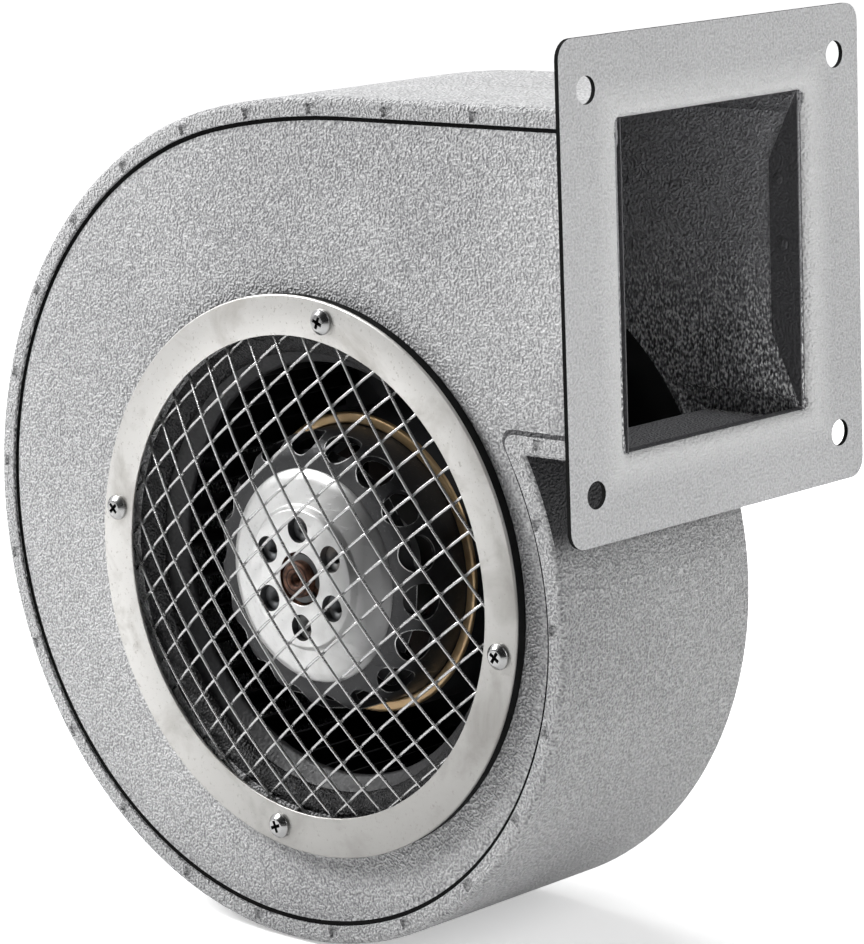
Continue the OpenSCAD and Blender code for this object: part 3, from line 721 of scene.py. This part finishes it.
# Ferrite for the magnets, also used as painted shade on the sleeve's outer wall.
magnet_and_sleeve_shade = bare("ferrite, also painted shade on the sleeve", (0.02, 0.02, 0.022), (0.06, 0.06, 0.06), 0.6, 0.1, 0.4, 0.3)
copper = bare("enamelled copper", (0.028, 0.012, 0.008), (0.012, 0.006, 0.004), 0.45, 0.3, 0.4, 0.3,
              (40.0, 2600.0, 40.0))
# Painted shade: the impeller's galvanised sheet is made near black.
shaded_wheel_metal = bare("galvanised sheet, darkened as painted shade", (0.035, 0.035, 0.038), (0.02, 0.02, 0.02), 0.5, 0.4,
                   0.5, 0.2)
motor_metal = bare("motor casting", (0.42, 0.425, 0.43), (0.25, 0.25, 0.25), 0.45, 0.6, 0.5,
                   0.35)
cover_paint = painted("cover paint", (0.03, 0.03, 0.033), (0.02, 0.02, 0.022), 0.4, 900.0, 0.3)
brass = bare("brass", (0.62, 0.42, 0.16), (0.35, 0.22, 0.09), 0.3, 0.95, 0.3, 0.1)
rubber = moulded("black rubber", (0.004, 0.004, 0.004), 0.7, shine=0.15)
nylon = moulded("black nylon", (0.02, 0.019, 0.017), 0.45)
lead_red = moulded("lead sleeve", (0.35, 0.02, 0.015), 0.45)
board_green = moulded("circuit board", (0.01, 0.1, 0.03), 0.35, 700.0)
parts_black = moulded("component plastic", (0.02, 0.02, 0.022), 0.4)


# ---- Camera and light

def set_camera():
    azimuth, elevation, roll = radians(43.12), radians(11.11), radians(-2.09)
    back = Vector((sin(azimuth) * cos(elevation), -cos(azimuth) * cos(elevation),
                   sin(elevation)))
    level = Vector((cos(azimuth), sin(azimuth), 0.0))
    rise = back.cross(level)
    right = cos(roll) * level + sin(roll) * rise
    up = cos(roll) * rise - sin(roll) * level
    lens = bpy.data.cameras.new("camera")
    lens.sensor_width = 36.0
    lens.lens = 151.9
    lens.shift_x = 0.0254
    lens.shift_y = 0.0175
    lens.clip_end = 20.0
    camera = linked("camera", lens)
    turn = Matrix((right, up, back)).transposed().to_4x4()
    camera.matrix_world = Matrix.Translation((0.750, -0.9425, 0.1713)) @ turn
    scene.camera = camera


def lamp(name, at, aim, size, power):
    light = bpy.data.lights.new(name, "AREA")
    light.shape = "RECTANGLE"
    light.size, light.size_y = size
    light.energy = power
    turn = (Vector(at) - Vector(aim)).to_track_quat("Z", "Y").to_matrix().to_4x4()
    linked(name, light).matrix_world = Matrix.Translation(at) @ turn


def white_to_camera(tree, plain_strength):
    """A strength of 1 for what the camera, gloss and glass see, and a plain one for light."""
    path = tree.nodes.new("ShaderNodeLightPath")
    seen = math(tree, "MAXIMUM", path.outputs["Is Camera Ray"],
                math(tree, "MAXIMUM", path.outputs["Is Glossy Ray"],
                     path.outputs["Is Transmission Ray"]))
    return spread(tree, seen, 0.0, 1.0, plain_strength, 1.0)


def set_light():
    world = bpy.data.worlds.new("studio")
    world.use_nodes = True
    tree = world.node_tree
    sky = tree.nodes["Background"]
    sky.inputs["Color"].default_value = (1.0, 1.0, 1.0, 1.0)
    strength = white_to_camera(tree, 0.23)
    way = tree.nodes.new("ShaderNodeTexCoord").outputs["Generated"]
    dark = spread(tree, between(tree, "DOT_PRODUCT", way, DARK_SIDE), -0.2, 0.42, 1.0, 0.03)
    tree.links.new(product(tree, strength, dark), sky.inputs["Strength"])
    scene.world = world
    lamp("top", (-0.35, 0.25, 1.15), (-0.16, 0.0, 0.0), (0.9, 0.6), 12.0)
    lamp("front left", (-0.95, -0.65, 0.75), (-0.17, -0.04, -0.05), (0.45, 0.45), 18.5)
    lamp("right", (1.08, 0.08, 0.55), (-0.05, 0.0, -0.05), (0.6, 0.9), 6.5)


def set_floor():
    bm = bmesh.new()
    bmesh.ops.create_grid(bm, x_segments=1, y_segments=1, size=4.0)
    low = cad_box[0][2]
    floor = linked("floor", mesh_of(moved(bm, Matrix.Translation((0, 0, low - 0.0005))), "floor"))
    material, tree, shader = finish("pale floor", 0.9)
    shader.inputs["Base Color"].default_value = (0.93, 0.93, 0.93, 1.0)
    grain = noise(tree, object_place(tree), 30.0)
    tree.links.new(bump(tree, grain, 0.05, 0.0005), shader.inputs["Normal"])
    shader.inputs["Emission Color"].default_value = (1.0, 1.0, 1.0, 1.0)
    path = tree.nodes.new("ShaderNodeLightPath")
    # Painted shadow: the floor's glow to the camera is lower near the fan, a soft pool of shade,
    # and evenly white further off.
    far = between(tree, "DISTANCE", object_place(tree), (-0.12, 0.0, low))
    glow_with_painted_shadow = spread(tree, far, 0.12, 0.5, 0.45, 0.95)
    tree.links.new(product(tree, path.outputs["Is Camera Ray"], glow_with_painted_shadow),
                   shader.inputs["Emission Strength"])
    floor.data.materials.append(material)


scene.view_settings.view_transform = "Standard"
set_camera()
set_light()
set_floor()


# ---- Casing

def swept(profile, closed, duct_end=DUCT_END):
    """Carries a profile of (inset, depth) points round the casing, from the duct's top round
    the scroll to the tongue and along the duct's floor. Returns the shape, its first and last
    edges, and the faces of the short steps where the lips are staked."""
    bm = bmesh.new()
    first = [bm.verts.new((duct_end, y, CASING_TOP - inset)) for inset, y in profile]
    pairs = zip(first, first[1:] + first[:1]) if closed else zip(first, first[1:])
    start = [bm.edges.new(pair) for pair in pairs]
    stakes = []

    def step(edges, centre=(0.0, 0.0), angle=0.0, shift=0.0, stake=False):
        count = len(bm.faces)
        geom = edges + list({v for e in edges for v in e.verts})
        out = bmesh.ops.spin(bm, geom=geom, cent=(centre[0], 0, centre[1]), axis=(0, -1, 0),
                             angle=radians(angle), dvec=(shift, 0, 0), steps=1)
        if stake:
            bm.faces.ensure_lookup_table()
            stakes.extend(bm.faces[count:])
        return edges_of(out["geom_last"])

    def stretch(edges, length, per_mm, centre=(0.0, 0.0)):
        """One run of the casing: per_mm is (angle, shift) for each millimetre."""
        runs = max(1, round(length / STAKE_SPACING))
        plain = (length / runs - STAKE) / 2
        for _ in range(runs):
            for part, stake in ((plain, False), (STAKE, True), (plain, False)):
                pieces = 1 if stake else max(1, ceil(part / 5.5))
                for _ in range(pieces):
                    edges = step(edges, centre, per_mm[0] * part / pieces,
                                 per_mm[1] * part / pieces, stake)
        return edges

    edges = stretch(start, duct_end - TOP_X, (0.0, -1.0))
    reach = tongue(0.0) - arc_centre(3)
    last = 358.0 + degrees(atan2(reach.y, reach.x))
    ends = (*ARC_TURN[1:], last)
    for k in range(4):
        span = ends[k] - ARC_TURN[k]
        per_mm = degrees(1.0 / ARC_RADIUS[k])
        edges = stretch(edges, span / per_mm, (per_mm, 0.0), arc_centre(k))
    insets = {inset for inset, _ in profile}
    stand = {inset: arc_centre(3) + polar(ARC_RADIUS[3] - inset, last) for inset in insets}
    turns = {inset: tongue_turn(inset) for inset in insets}
    for k in range(5):
        edges = step(edges)
        for v in {v for e in edges for v in e.verts}:
            here = Vector((v.co.x, v.co.z))
            inset = min(insets, key=lambda i: (here - stand[i]).length)
            v.co.x, v.co.z = turns[inset][k]
        stand = {inset: turns[inset][k] for inset in insets}
    for x, stake in ((TONGUE_STAKE[0], False), (TONGUE_STAKE[1], True), (duct_end, False)):
        edges = step(edges, stake=stake)
        for v in {v for e in edges for v in e.verts}:
            v.co.x = x
        if stake:
            for f in stakes[-len(edges):]:
                f.normal_update()
    return bm, start, edges, stakes


def make_wrap():
    """The curved steel wrap: bent lips at both sides, staked over the side plates."""
    d = CASING_DEPTH
    bend = 2.2
    outer = rounded([(LIP, SHEET, 0.3), (LIP, 0.0, 0.4), (0.0, 0.0, bend), (0.0, d, bend),
                     (LIP, d, 0.4), (LIP, d - SHEET, 0.3), (SHEET, d - SHEET, bend - SHEET),
                     (SHEET, SHEET, bend - SHEET)], 5)
    bm, start, end, stakes = swept(outer, True)
    bmesh.ops.contextual_create(bm, geom=start)
    bmesh.ops.contextual_create(bm, geom=end)
    bmesh.ops.recalc_face_normals(bm, faces=bm.faces)
    lips = [f for f in stakes if f.is_valid and abs(f.normal.y) > 0.9
            and (max(v.co.y for v in f.verts) < 0.01 or min(v.co.y for v in f.verts) > d - 0.01)]
    bmesh.ops.inset_individual(bm, faces=lips, thickness=0.7, depth=-0.9)
    obj = piece(bm, "casing_wrap", wrap_paint, ("scroll_wrap",), sharp=42)
    # The faces inside the casing get the darker paint: painted shade.
    also(obj, shaded_inner_paint, inside_casing)
    # Painted shade: the lips' sheared edges are black.
    also(obj, black_painted_shade, lambda c, n: lip_edge(c, n) and not inside_casing(c, n))


def lip_edge(centre, normal):
    """True for the sheared edges of the lips, which face the fan's middle."""
    if SHEET < centre.y < CASING_DEPTH - SHEET or abs(normal.y) > 0.1:
        return False
    if centre.x > TOP_X and centre.z > DUCT_FLOOR:
        return normal.z * (1 if centre.z < 100 else -1) > 0.5
    return normal.x * centre.x + normal.z * centre.z < -0.5 * hypot(centre.x, centre.z)


def inside_casing(centre, normal):
    """True for faces in the casing that look at its inside."""
    if not SHEET / 2 < centre.y < CASING_DEPTH - SHEET / 2:
        return False
    if normal.y * (CASING_DEPTH / 2 - centre.y) > 12:
        return True
    if centre.x > TOP_X and centre.z > DUCT_FLOOR + SHEET / 2:
        return normal.z * (1 if centre.z < 100 else -1) > 0.3
    return normal.x * centre.x + normal.z * centre.z < 0


def in_groove(centre, depth):
    """True for the bottom of the groove beside the lips, which is painted black as shade."""
    return abs(depth - GROOVE) < 0.015 and hypot(centre.x, centre.z) > 90


def make_side_sheet(side, hole_rim, name, stands_for):
    """A side plate: its edge under the lip, its pressed step, its panel, and its hole's rim.
    side is 1 at the inlet and -1 at the motor."""
    def at(y):
        return y if side > 0 else CASING_DEPTH - y

    def at_level(v):
        return abs(v.co.y - at(panel)) < 0.001

    panel = FRONT_PANEL if side > 0 else PANEL
    step_profile = [(PLATE_EDGE, SHEET + 0.05), (LIP - 0.4, SHEET + 0.05), (LIP - 0.1, GROOVE),
                    (LIP + 1.45, GROOVE)]
    if side > 0:
        step_profile += [(LIP + 2.8, GROOVE - 0.08), (LIP + 4.4, panel + 0.1), (LIP + 6.0, panel)]
    else:
        step_profile += [(LIP + 2.2, GROOVE + 0.3), (LIP + 3.0, panel)]
    bm = swept([(inset, at(y)) for inset, y in step_profile], False, PLATE_END)[0]
    rim_edges = [e for e in bm.edges if len(e.link_faces) == 1 and all(map(at_level, e.verts))]
    corner = [v for v in bm.verts if at_level(v) and abs(v.co.x - PLATE_END) < 0.001
              and any(e in rim_edges for e in v.link_edges)]
    bm.edges.new(corner)
    turned(rounded([(r, at(y), q) for r, y, q in hole_rim], 8)[:-1], 120, closed=False, shape=bm)
    panel_edges = [e for e in bm.edges if len(e.link_faces) <= 1 and all(map(at_level, e.verts))]
    bmesh.ops.triangle_fill(bm, use_beauty=True, edges=panel_edges)
    bmesh.ops.recalc_face_normals(bm, faces=bm.faces)
    flat = max(bm.faces, key=lambda f: f.calc_area())
    if flat.normal.y * side > 0:
        bmesh.ops.reverse_faces(bm, faces=bm.faces)
    obj = piece(bm, name, casing_paint, stands_for, sharp=30)
    # Painted shade: the groove's bottom is black.
    also(obj, black_painted_shade, lambda c, n: in_groove(c, at(c.y)))
    # Painted shade in the groove near the tongue.
    also(obj, groove_shade_paint, lambda c, n: in_groove(c, at(c.y)) and c.x > 80 and 42 < c.z < 60)
    # Painted shade inside the mouth, and on the motor hole's collar.
    also(obj, shaded_mouth_paint, lambda c, n: hypot(c.x, c.z) < MOUTH_R and at(c.y) > panel + 0.02)
    # The sheet's back faces, inside the casing, get the darker paint: painted shade.
    finishes = len(obj.data.materials)
    for _ in range(finishes):
        obj.data.materials.append(shaded_inner_paint)
    also(obj, casing_paint, lambda c, n: side < 0 and hypot(c.x, c.z) < WELL_R
         and at(c.y) < PANEL - WELL / 2)
    obj.data.materials.append(well_black)
    sheet = thicken(obj, SHEET)
    sheet.material_offset = finishes
    sheet.material_offset_rim = finishes


make_wrap()
make_side_sheet(1, [(MOUTH_R + 0.1, FRONT_PANEL, 0.0), (MOUTH_R - 5.3, FRONT_PANEL, MOUTH_ROLL),
                    (MOUTH_R - 8.5, PANEL + 3.2, 0.0), (MOUTH_R - 9.0, PANEL + 3.7, 0.0)],
                "inlet_side_plate", ("front_side_plate",))
make_side_sheet(-1, [(WELL_R + 0.4, PANEL, 0.0), (WELL_R - 0.2, PANEL - WELL, 0.0),
                     (MOTOR_HOLE_R, PANEL - WELL, 1.6),
                     (MOTOR_HOLE_R, PANEL + 3.6, 0.0), (MOTOR_HOLE_R, PANEL + 4.2, 0.0)],
                "motor_side_plate", ("rear_side_plate",))


def square_loop(bm, half_w, half_h, corner, x, steps=6):
    """A loop of points round a rectangle with rounded corners, facing along X."""
    loop = []
    for side_y, side_z, start in ((1, 1, 0), (-1, 1, 90), (-1, -1, 180), (1, -1, 270)):
        y = CASING_DEPTH / 2 + side_y * (half_w - corner)
        z = OUTLET_RISE + side_z * (half_h - corner)
        for s in range(steps + 1):
            w = radians(start + 90 * s / steps)
            loop.append(bm.verts.new((x, y + corner * cos(w), z + corner * sin(w))))
    return loop


def side_tab(bm, side):
    """A tab from the flange's opening, welded inside a side plate, with its corners cut off."""
    low, high = OUTLET_RISE - OPENING[1] / 2, OUTLET_RISE + OPENING[1] / 2
    mid = CASING_DEPTH / 2
    rows = []
    for x, out, trim in ((121.5, 41.9, 24.0), (127.9, 42.5, 9.0), (132.3, 42.6, -0.5)):
        y = mid + side * out
        corners = ((y, low + trim), (y, high - 0.9 * trim), (y + side * 0.4, high - 0.9 * trim),
                   (y + side * 0.4, low + trim))
        rows.append([bm.verts.new((x, *corner)) for corner in corners])
    join_loops(bm, rows)
    bm.faces.new(rows[0])
    bm.faces.new(rows[-1][::-1])
    for x, z in ((126.5, 105.4), (124.9, 126.0)):
        spot_weld = bmesh.new()
        bmesh.ops.create_uvsphere(spot_weld, u_segments=20, v_segments=10, radius=1.8)
        add(moved(spot_weld, Matrix.Diagonal((1, 0.3, 1, 1)),
                  Matrix.Translation((x, mid + side * 42.0, z))), bm)


def make_flange():
    """The outlet flange: its opening's edge is drawn inwards with a soft round."""
    bm = bmesh.new()
    inner = DRAW - FLANGE_SHEET
    tail = FLANGE_FACE - DRAW - DRAW_TAIL
    back = FLANGE_FACE - FLANGE_SHEET
    turn = [radians(90 * s / 8) for s in range(9)]
    rows = [(DRAW * (1 - sin(w)), FLANGE_FACE - DRAW * (1 - cos(w))) for w in turn]
    rows += [(0.0, tail), (FLANGE_SHEET, tail)]
    rows += [(FLANGE_SHEET + inner * (1 - sin(w)), back - inner * (1 - cos(w)))
             for w in reversed(turn)]
    loops = [square_loop(bm, FLANGE[0] / 2, FLANGE[1] / 2, 6.0, FLANGE_FACE)]
    loops += [square_loop(bm, OPENING[0] / 2 + out, OPENING[1] / 2 + out, OPENING_CORNER + out, x)
              for out, x in rows]
    loops.append(square_loop(bm, FLANGE[0] / 2, FLANGE[1] / 2, 6.0, back))
    join_loops(bm, loops + loops[:1])
    for side in (-1, 1):
        side_tab(bm, side)
    bmesh.ops.recalc_face_normals(bm, faces=bm.faces)
    obj = piece(bm, "outlet_frame", flange_paint, ("outlet_flange",))
    holes = bmesh.new()
    for side_y in (-1, 1):
        for side_z in (-1, 1):
            place = Matrix.Translation((FLANGE_FACE, CASING_DEPTH / 2 + HOLE_OFFSET * side_y,
                                        OUTLET_RISE + HOLE_OFFSET * side_z))
            add(drill(HOLE_R, 12.0, 40, Matrix.Rotation(pi / 2, 4, "Y"), place), holes)
    cut(obj, holes, "flange_holes")
    # The outer edge is black; the holes' walls are black as painted shade.
    also(obj, edge_black_and_hole_shade, flange_edge)
    # Painted shade on the tabs and the opening's walls.
    also(obj, shaded_tab_paint, tab_or_wall)
    soften(obj, 0.3)


def from_outlet(centre):
    """How far a point is from the middle of the outlet, across and up."""
    return abs(centre.y - CASING_DEPTH / 2), abs(centre.z - OUTLET_RISE)


def tab_or_wall(centre, normal):
    """True for the two tabs, and for the drawn walls of the opening."""
    y, z = from_outlet(centre)
    in_opening = y < OPENING[0] / 2 + 0.4 and z < OPENING[1] / 2 + 0.4
    tab_end = normal.x > 0.98 and centre.x < FLANGE_FACE - 1.0
    return (centre.x < FLANGE_FACE - DRAW + 1.0 or tab_end
            or hypot(normal.y, normal.z) > 0.93 and in_opening)


def flange_edge(centre, normal):
    """True for the flange's sheared outer edge and the walls of its holes."""
    y, z = from_outlet(centre)
    outer = y > FLANGE[0] / 2 - 3 or z > FLANGE[1] / 2 - 3
    return abs(normal.x) < 0.5 and (outer or hypot(y - HOLE_OFFSET, z - HOLE_OFFSET) < 5)


def make_ring():
    """The stainless ring round the inlet: a flat face with rounded edges."""
    y = RING_FACE
    profile = rounded([(RING_BORE, y, 0.35), (RING_R, y, 0.6), (RING_R, y + 1.0, 0.2),
                       (RING_BORE, y + 1.0, 0.2)])
    piece(turned(profile, 180), "inlet_trim_ring", stainless, ("inlet_ring",))


def make_gasket():
    """The black rubber between the ring and the plate."""
    y = RING_FACE + 1.0
    edge = RING_R - 0.25
    profile = rounded([(RING_BORE + 3.4, y), (edge, y), (edge, FRONT_PANEL - 0.1, 0.3),
                       (RING_BORE + 4.8, FRONT_PANEL - 0.1), (RING_BORE + 4.8, y + 2.2),
                       (RING_BORE + 3.4, y + 2.2)])
    piece(turned(profile, 144), "ring_gasket", rubber, ("inlet_gasket",))


def tube(bm, points, radius, side):
    """A round wire along points; side is a direction that its path never follows."""
    rings = []
    for i, p in enumerate(points):
        along = (points[min(i + 1, len(points) - 1)] - points[max(i - 1, 0)]).normalized()
        out = along.cross(side).normalized()
        across = out.cross(along)
        rings.append([bm.verts.new(p + radius * (cos(radians(w)) * out + sin(radians(w)) * across))
                      for w in range(0, 360, 45)])
    join_loops(bm, rings)
    bm.faces.new(rings[0])
    bm.faces.new(rings[-1][::-1])


def make_guard():
    """The domed guard: straight front wires, and rear wires kinked where they cross them."""
    dome_r = (MESH_R ** 2 + MESH_DOME ** 2) / (2 * MESH_DOME)
    centre_y = MESH_BASE - MESH_DOME + dome_r
    bm = bmesh.new()
    families = ((MESH_TURN, -1, *FRONT_WIRES, None),
                (MESH_TURN + 90, 1, *REAR_WIRES, FRONT_WIRES))
    for turn, side, pitch, shift, crossed in families:
        ball = dome_r - side * WIRE * 0.55
        across = Vector((cos(radians(turn)), 0, sin(radians(turn))))
        along = Vector((-sin(radians(turn)), 0, cos(radians(turn))))
        reach = MESH_R - 3
        for i in range(ceil((-reach - shift) / pitch), int((reach - shift) // pitch) + 1):
            off = shift + i * pitch
            half = sqrt(MESH_R ** 2 - off ** 2)
            steps = int(half / 0.65) if crossed else int(half / 1.8)
            points = []
            for s in range(-steps, steps + 1):
                run = half * s / steps
                y = centre_y - sqrt(ball ** 2 - off ** 2 - run ** 2)
                if crossed:
                    near = (-run - crossed[1]) / crossed[0]
                    gap = abs(near - round(near)) * crossed[0]
                    y -= KINK * (1 - 1 / (1 + (gap / 1.5) ** 4))
                points.append(across * off + along * run + Vector((0, y, 0)))
            tube(bm, points, WIRE / 2, across)
    bmesh.ops.recalc_face_normals(bm, faces=bm.faces)
    piece(bm, "wire_guard", wire_steel, ("guard_mesh",), sharp=60)


def make_nozzle():
    """The spun nozzle behind the mouth, tapering to its throat."""
    roll_y = PANEL + MOUTH_ROLL
    start = (MOUTH_R - 4.24, roll_y - 4.24)
    profile = rounded([(MOUTH_R + 9, PANEL + 1.2), (MOUTH_R + 9, PANEL + 2.4),
                       (MOUTH_R - 1, PANEL + 2.4, 3.0), (start[0] + 1, start[1] + 1.2, 2.0),
                       (THROAT_R + 1.2, THROAT_Y + 0.7, 1.5), (THROAT_R + 1.2, THROAT_Y + 1.7, 0.3),
                       (THROAT_R, THROAT_Y + 1.7, 0.3), (THROAT_R, THROAT_Y, 2.0),
                       (start[0], start[1], 1.0), (MOUTH_R - 2.2, PANEL + 1.2, 1.0)])
    # Its near-black paint is partly its own dark grey and partly painted shade.
    piece(turned(profile, 144), "inlet_cone", dark_shaded_nozzle_paint, ("inlet_nozzle",))


def cross_recess(width, depth, y):
    """A cross-shaped driver recess, tapering inwards, as a cutting shape."""
    bm = bmesh.new()
    for turn in (0, pi / 2):
        blade = bmesh.new()
        bmesh.ops.create_cone(blade, cap_ends=True, segments=4, radius1=0.5 * width,
                              radius2=0.24 * width, depth=depth)
        moved(blade, Matrix.Rotation(pi / 4, 4, "Z"), Matrix.Diagonal((1.42, 0.38, 1.0, 1.0)),
              Matrix.Rotation(turn, 4, "Z"), Matrix.Rotation(-pi / 2, 4, "X"),
              Matrix.Translation((0, y + depth / 2, 0)))
        add(blade, bm)
    return bm


def pan_screws(name, finish, stands_for, size, length, places):
    """Pan-head cross screws. places lists, for each, its matrix in the fan's frame, where the
    head's underside is at depth 0 and the shank points along +Y."""
    head_r, head_h = 1.05 * size, 0.6 * size
    profile = rounded([(0.0, -head_h), (0.62 * head_r, -head_h, 1.0), (head_r, -0.42 * head_h, 0.5),
                       (head_r, 0.0, 0.15), (size / 2, 0.0), (size / 2, length, 0.2),
                       (0.0, length)], 3)
    shape = bmesh.new()
    turned(profile, 40, False, shape)
    bmesh.ops.recalc_face_normals(shape, faces=shape.faces)
    blank = piece(shape, name + "_blank", finish)
    cut(blank, cross_recess(1.15 * size, 0.62 * head_h + 0.5, -head_h - 0.5), "recess")
    screw = bmesh.new()
    screw.from_mesh(blank.data)
    mesh = blank.data
    bpy.data.objects.remove(blank)
    bpy.data.meshes.remove(mesh)
    moved(screw, TO_ROW.inverted())
    # The faces of the cross recess take the second finish, black as painted shade.
    for f in screw.faces:
        c = f.calc_center_median()
        if hypot(c.x, c.z) < 0.6 * size and 0.05 - head_h < c.y < -0.02:
            f.material_index = 1
    bm = bmesh.new()
    for place in places:
        add(moved(screw.copy(), place), bm)
    screw.free()
    obj = piece(bm, name, finish, stands_for, sharp=32)
    obj.data.materials.append(black_painted_shade)
    soften(obj, 0.12)


def spot(radius, angle, y, twist):
    """A place round the fan's axis, turned about its own axis."""
    return (Matrix.Rotation(-radians(angle), 4, "Y") @ Matrix.Translation((radius, y, 0))
            @ Matrix.Rotation(radians(twist), 4, "Y"))


def in_hub_hole(centre, _):
    """True on the walls of the hub's six holes."""
    turn = degrees(atan2(centre.z, centre.x)) % 60 - 30
    radius = hypot(centre.x, centre.z)
    across = hypot(radius * sin(radians(turn)), radius * cos(radians(turn)) - BOSS_HOLES_R)
    return across < 4.5 and centre.y > BOSS_Y + 0.1


def make_hub():
    """The bright end hub: a raised boss with six screw holes round the shaft's recess."""
    profile = rounded([(SHAFT_R, -2.6), (RECESS_R, -2.6, 0.3), (RECESS_R, BOSS_Y, 0.3),
                       (BOSS_R, BOSS_Y, 0.8), (BOSS_R + 1.5, BOSS_Y + 2.2, 1.2),
                       (HUB_R - 3.0, -0.4, 8.0), (HUB_R, 1.2, 2.0), (HUB_R, 5.0), (HUB_TUBE_R, 5.0),
                       (HUB_TUBE_R, 19.0), (7.6, 19.0), (7.6, 22.0), (SHAFT_R, 22.0)], 6)
    obj = piece(turned(profile, 144), "rotor_end_hub", hub_metal, ("rotor_hub",), "rotor")
    holes = bmesh.new()
    hole = drill(4.4, 12.0, 40, Matrix.Rotation(-pi / 2, 4, "X"), Matrix.Translation((0, -4, 0)))
    around(hole, 6, BOSS_HOLES_R, 30, holes)
    cut(obj, holes, "hub_holes")
    also(obj, shaft_metal, lambda c, n: hypot(c.x, c.z) < RECESS_R + 0.1 and c.y > BOSS_Y + 0.2)
    # Painted shade: the walls of the hub's holes are dark.
    also(obj, iron_and_hole_shade, in_hub_hole)
    soften(obj, 0.4)


def make_bell():
    """The dark bell: a rounded shoulder pierced by a ring of slanting round ports."""
    round_r, round_y = BELL_R - SHOULDER, BELL_FRONT + SHOULDER
    profile = rounded([(HUB_R - 0.4, BELL_FRONT + 0.2, 0.3), (BELL_R, BELL_FRONT, SHOULDER - 0.2),
                       (BELL_R, 34.3, 0.4), (BELL_R - 2.5, 34.3), (BELL_R - 2.5, round_y),
                       (BELL_R - 3.5, 7.5, 1.0), (HUB_TUBE_R + 0.1, 7.5),
                       (HUB_TUBE_R + 0.1, 5.05), (HUB_R - 0.4, 5.05)], 10)
    obj = piece(turned(profile, 180), "rotor_bell_casting", bell_metal, ("rotor_bell",), "rotor")
    port = drill(PORT_R, 10.0, 48, Matrix.Rotation(pi / 2, 4, "Y"),
                 Matrix.Translation((SHOULDER, 0, 0)), Matrix.Rotation(radians(-30), 4, "Z"),
                 Matrix.Translation((0, round_y, 0)))
    ports = bmesh.new()
    around(port, PORTS, round_r, 15, ports)
    cut(obj, ports, "ports")


def make_sleeve():
    """The passivated steel sleeve round the bell and the magnets."""
    inner = BELL_R + 0.05
    profile = rounded([(inner, SLEEVE_FRONT, 0.8), (SLEEVE_R, SLEEVE_FRONT, 1.2),
                       (SLEEVE_R, SLEEVE_BACK, 0.2), (inner, SLEEVE_BACK, 0.2)])
    obj = piece(turned(profile, 180), "rotor_steel_sleeve", sleeve_metal, ("rotor_sleeve",),
                "rotor")
    # Painted shade: the sleeve's outer wall behind its front end is dark.
    also(obj, magnet_and_sleeve_shade, lambda c, n: c.y > SLEEVE_FRONT + 1.6)


def make_shaft():
    """The rotor's shaft: a centre-drilled end with turned rings, and grooves for its clips."""
    profile = rounded([(0.3, SHAFT_END + 3.0), (2.3, SHAFT_END + 0.4, 0.15),
                       (2.9, SHAFT_END, 0.2), (3.6, SHAFT_END + 0.12, 0.15), (3.9, SHAFT_END, 0.1),
                       (5.2, SHAFT_END, 0.15), (SHAFT_R, SHAFT_END + 0.8, 0.3),
                       (SHAFT_R, CLIP_Y), (5.4, CLIP_Y), (5.4, CLIP_Y + 1), (SHAFT_R, CLIP_Y + 1),
                       (SHAFT_R, 88.0), (5.4, 88.0), (5.4, 89.0), (SHAFT_R, 89.0),
                       (SHAFT_R, SHAFT_BACK, 0.5), (0.3, SHAFT_BACK)], 3)
    piece(turned(profile, 72), "shaft", shaft_metal, ("rotor_shaft",), "rotor")


def dressed(node, finish):
    """A smooth-shaded copy of a CAD part with its finish. It is in metres already."""
    source = frame["nodes"][node]
    bm = bmesh.new()
    bm.from_mesh(source.data)
    bmesh.ops.remove_doubles(bm, verts=bm.verts, dist=0.000001)
    for face in bm.faces:
        face.material_index = 0
    piece(bm, node + "_piece", finish, (node,), body_of(source)[0], 32, Matrix())


make_flange()
make_ring()
make_gasket()
make_guard()
make_nozzle()
pan_screws("ring_cross_screws", screw_metal, ("ring_screws",), 4.0, 14.5,
           [spot(RING_SCREW_R, angle, RING_FACE, twist)
            for angle, twist in zip(RING_SCREWS, (12, 38, 60, 25))])
make_hub()
make_bell()
make_sleeve()
make_shaft()

for node, node_finish in (
        ("ring_nuts", plated), ("motor_mount", motor_metal), ("motor_screws", plated),
        ("motor_nuts", plated), ("stator_core", iron_and_hole_shade), ("stator_insulators", nylon),
        ("stator_windings", copper), ("phase_leads", lead_red),
        ("front_bearing_outer", bearing_metal), ("rear_bearing_outer", bearing_metal),
        ("bearing_balls", bearing_metal), ("wave_washer", bearing_metal),
        ("circuit_board", board_green), ("board_parts", parts_black), ("board_screws", plated),
        ("electronics_cover", cover_paint), ("cover_screws", screw_metal),
        ("cable_grommet", rubber), ("earth_screw", brass), ("hub_screws", iron_and_hole_shade),
        ("rotor_magnets", magnet_and_sleeve_shade), ("front_bearing_inner", bearing_metal),
        ("rear_bearing_inner", bearing_metal), ("front_circlip", iron_and_hole_shade),
        ("rear_circlip", iron_and_hole_shade), ("impeller_back_disc", shaded_wheel_metal),
        ("impeller_blades", shaded_wheel_metal), ("impeller_front_ring", shaded_wheel_metal),
        ("disc_screws", plated), ("balance_clips", plated)):
    dressed(node, node_finish)
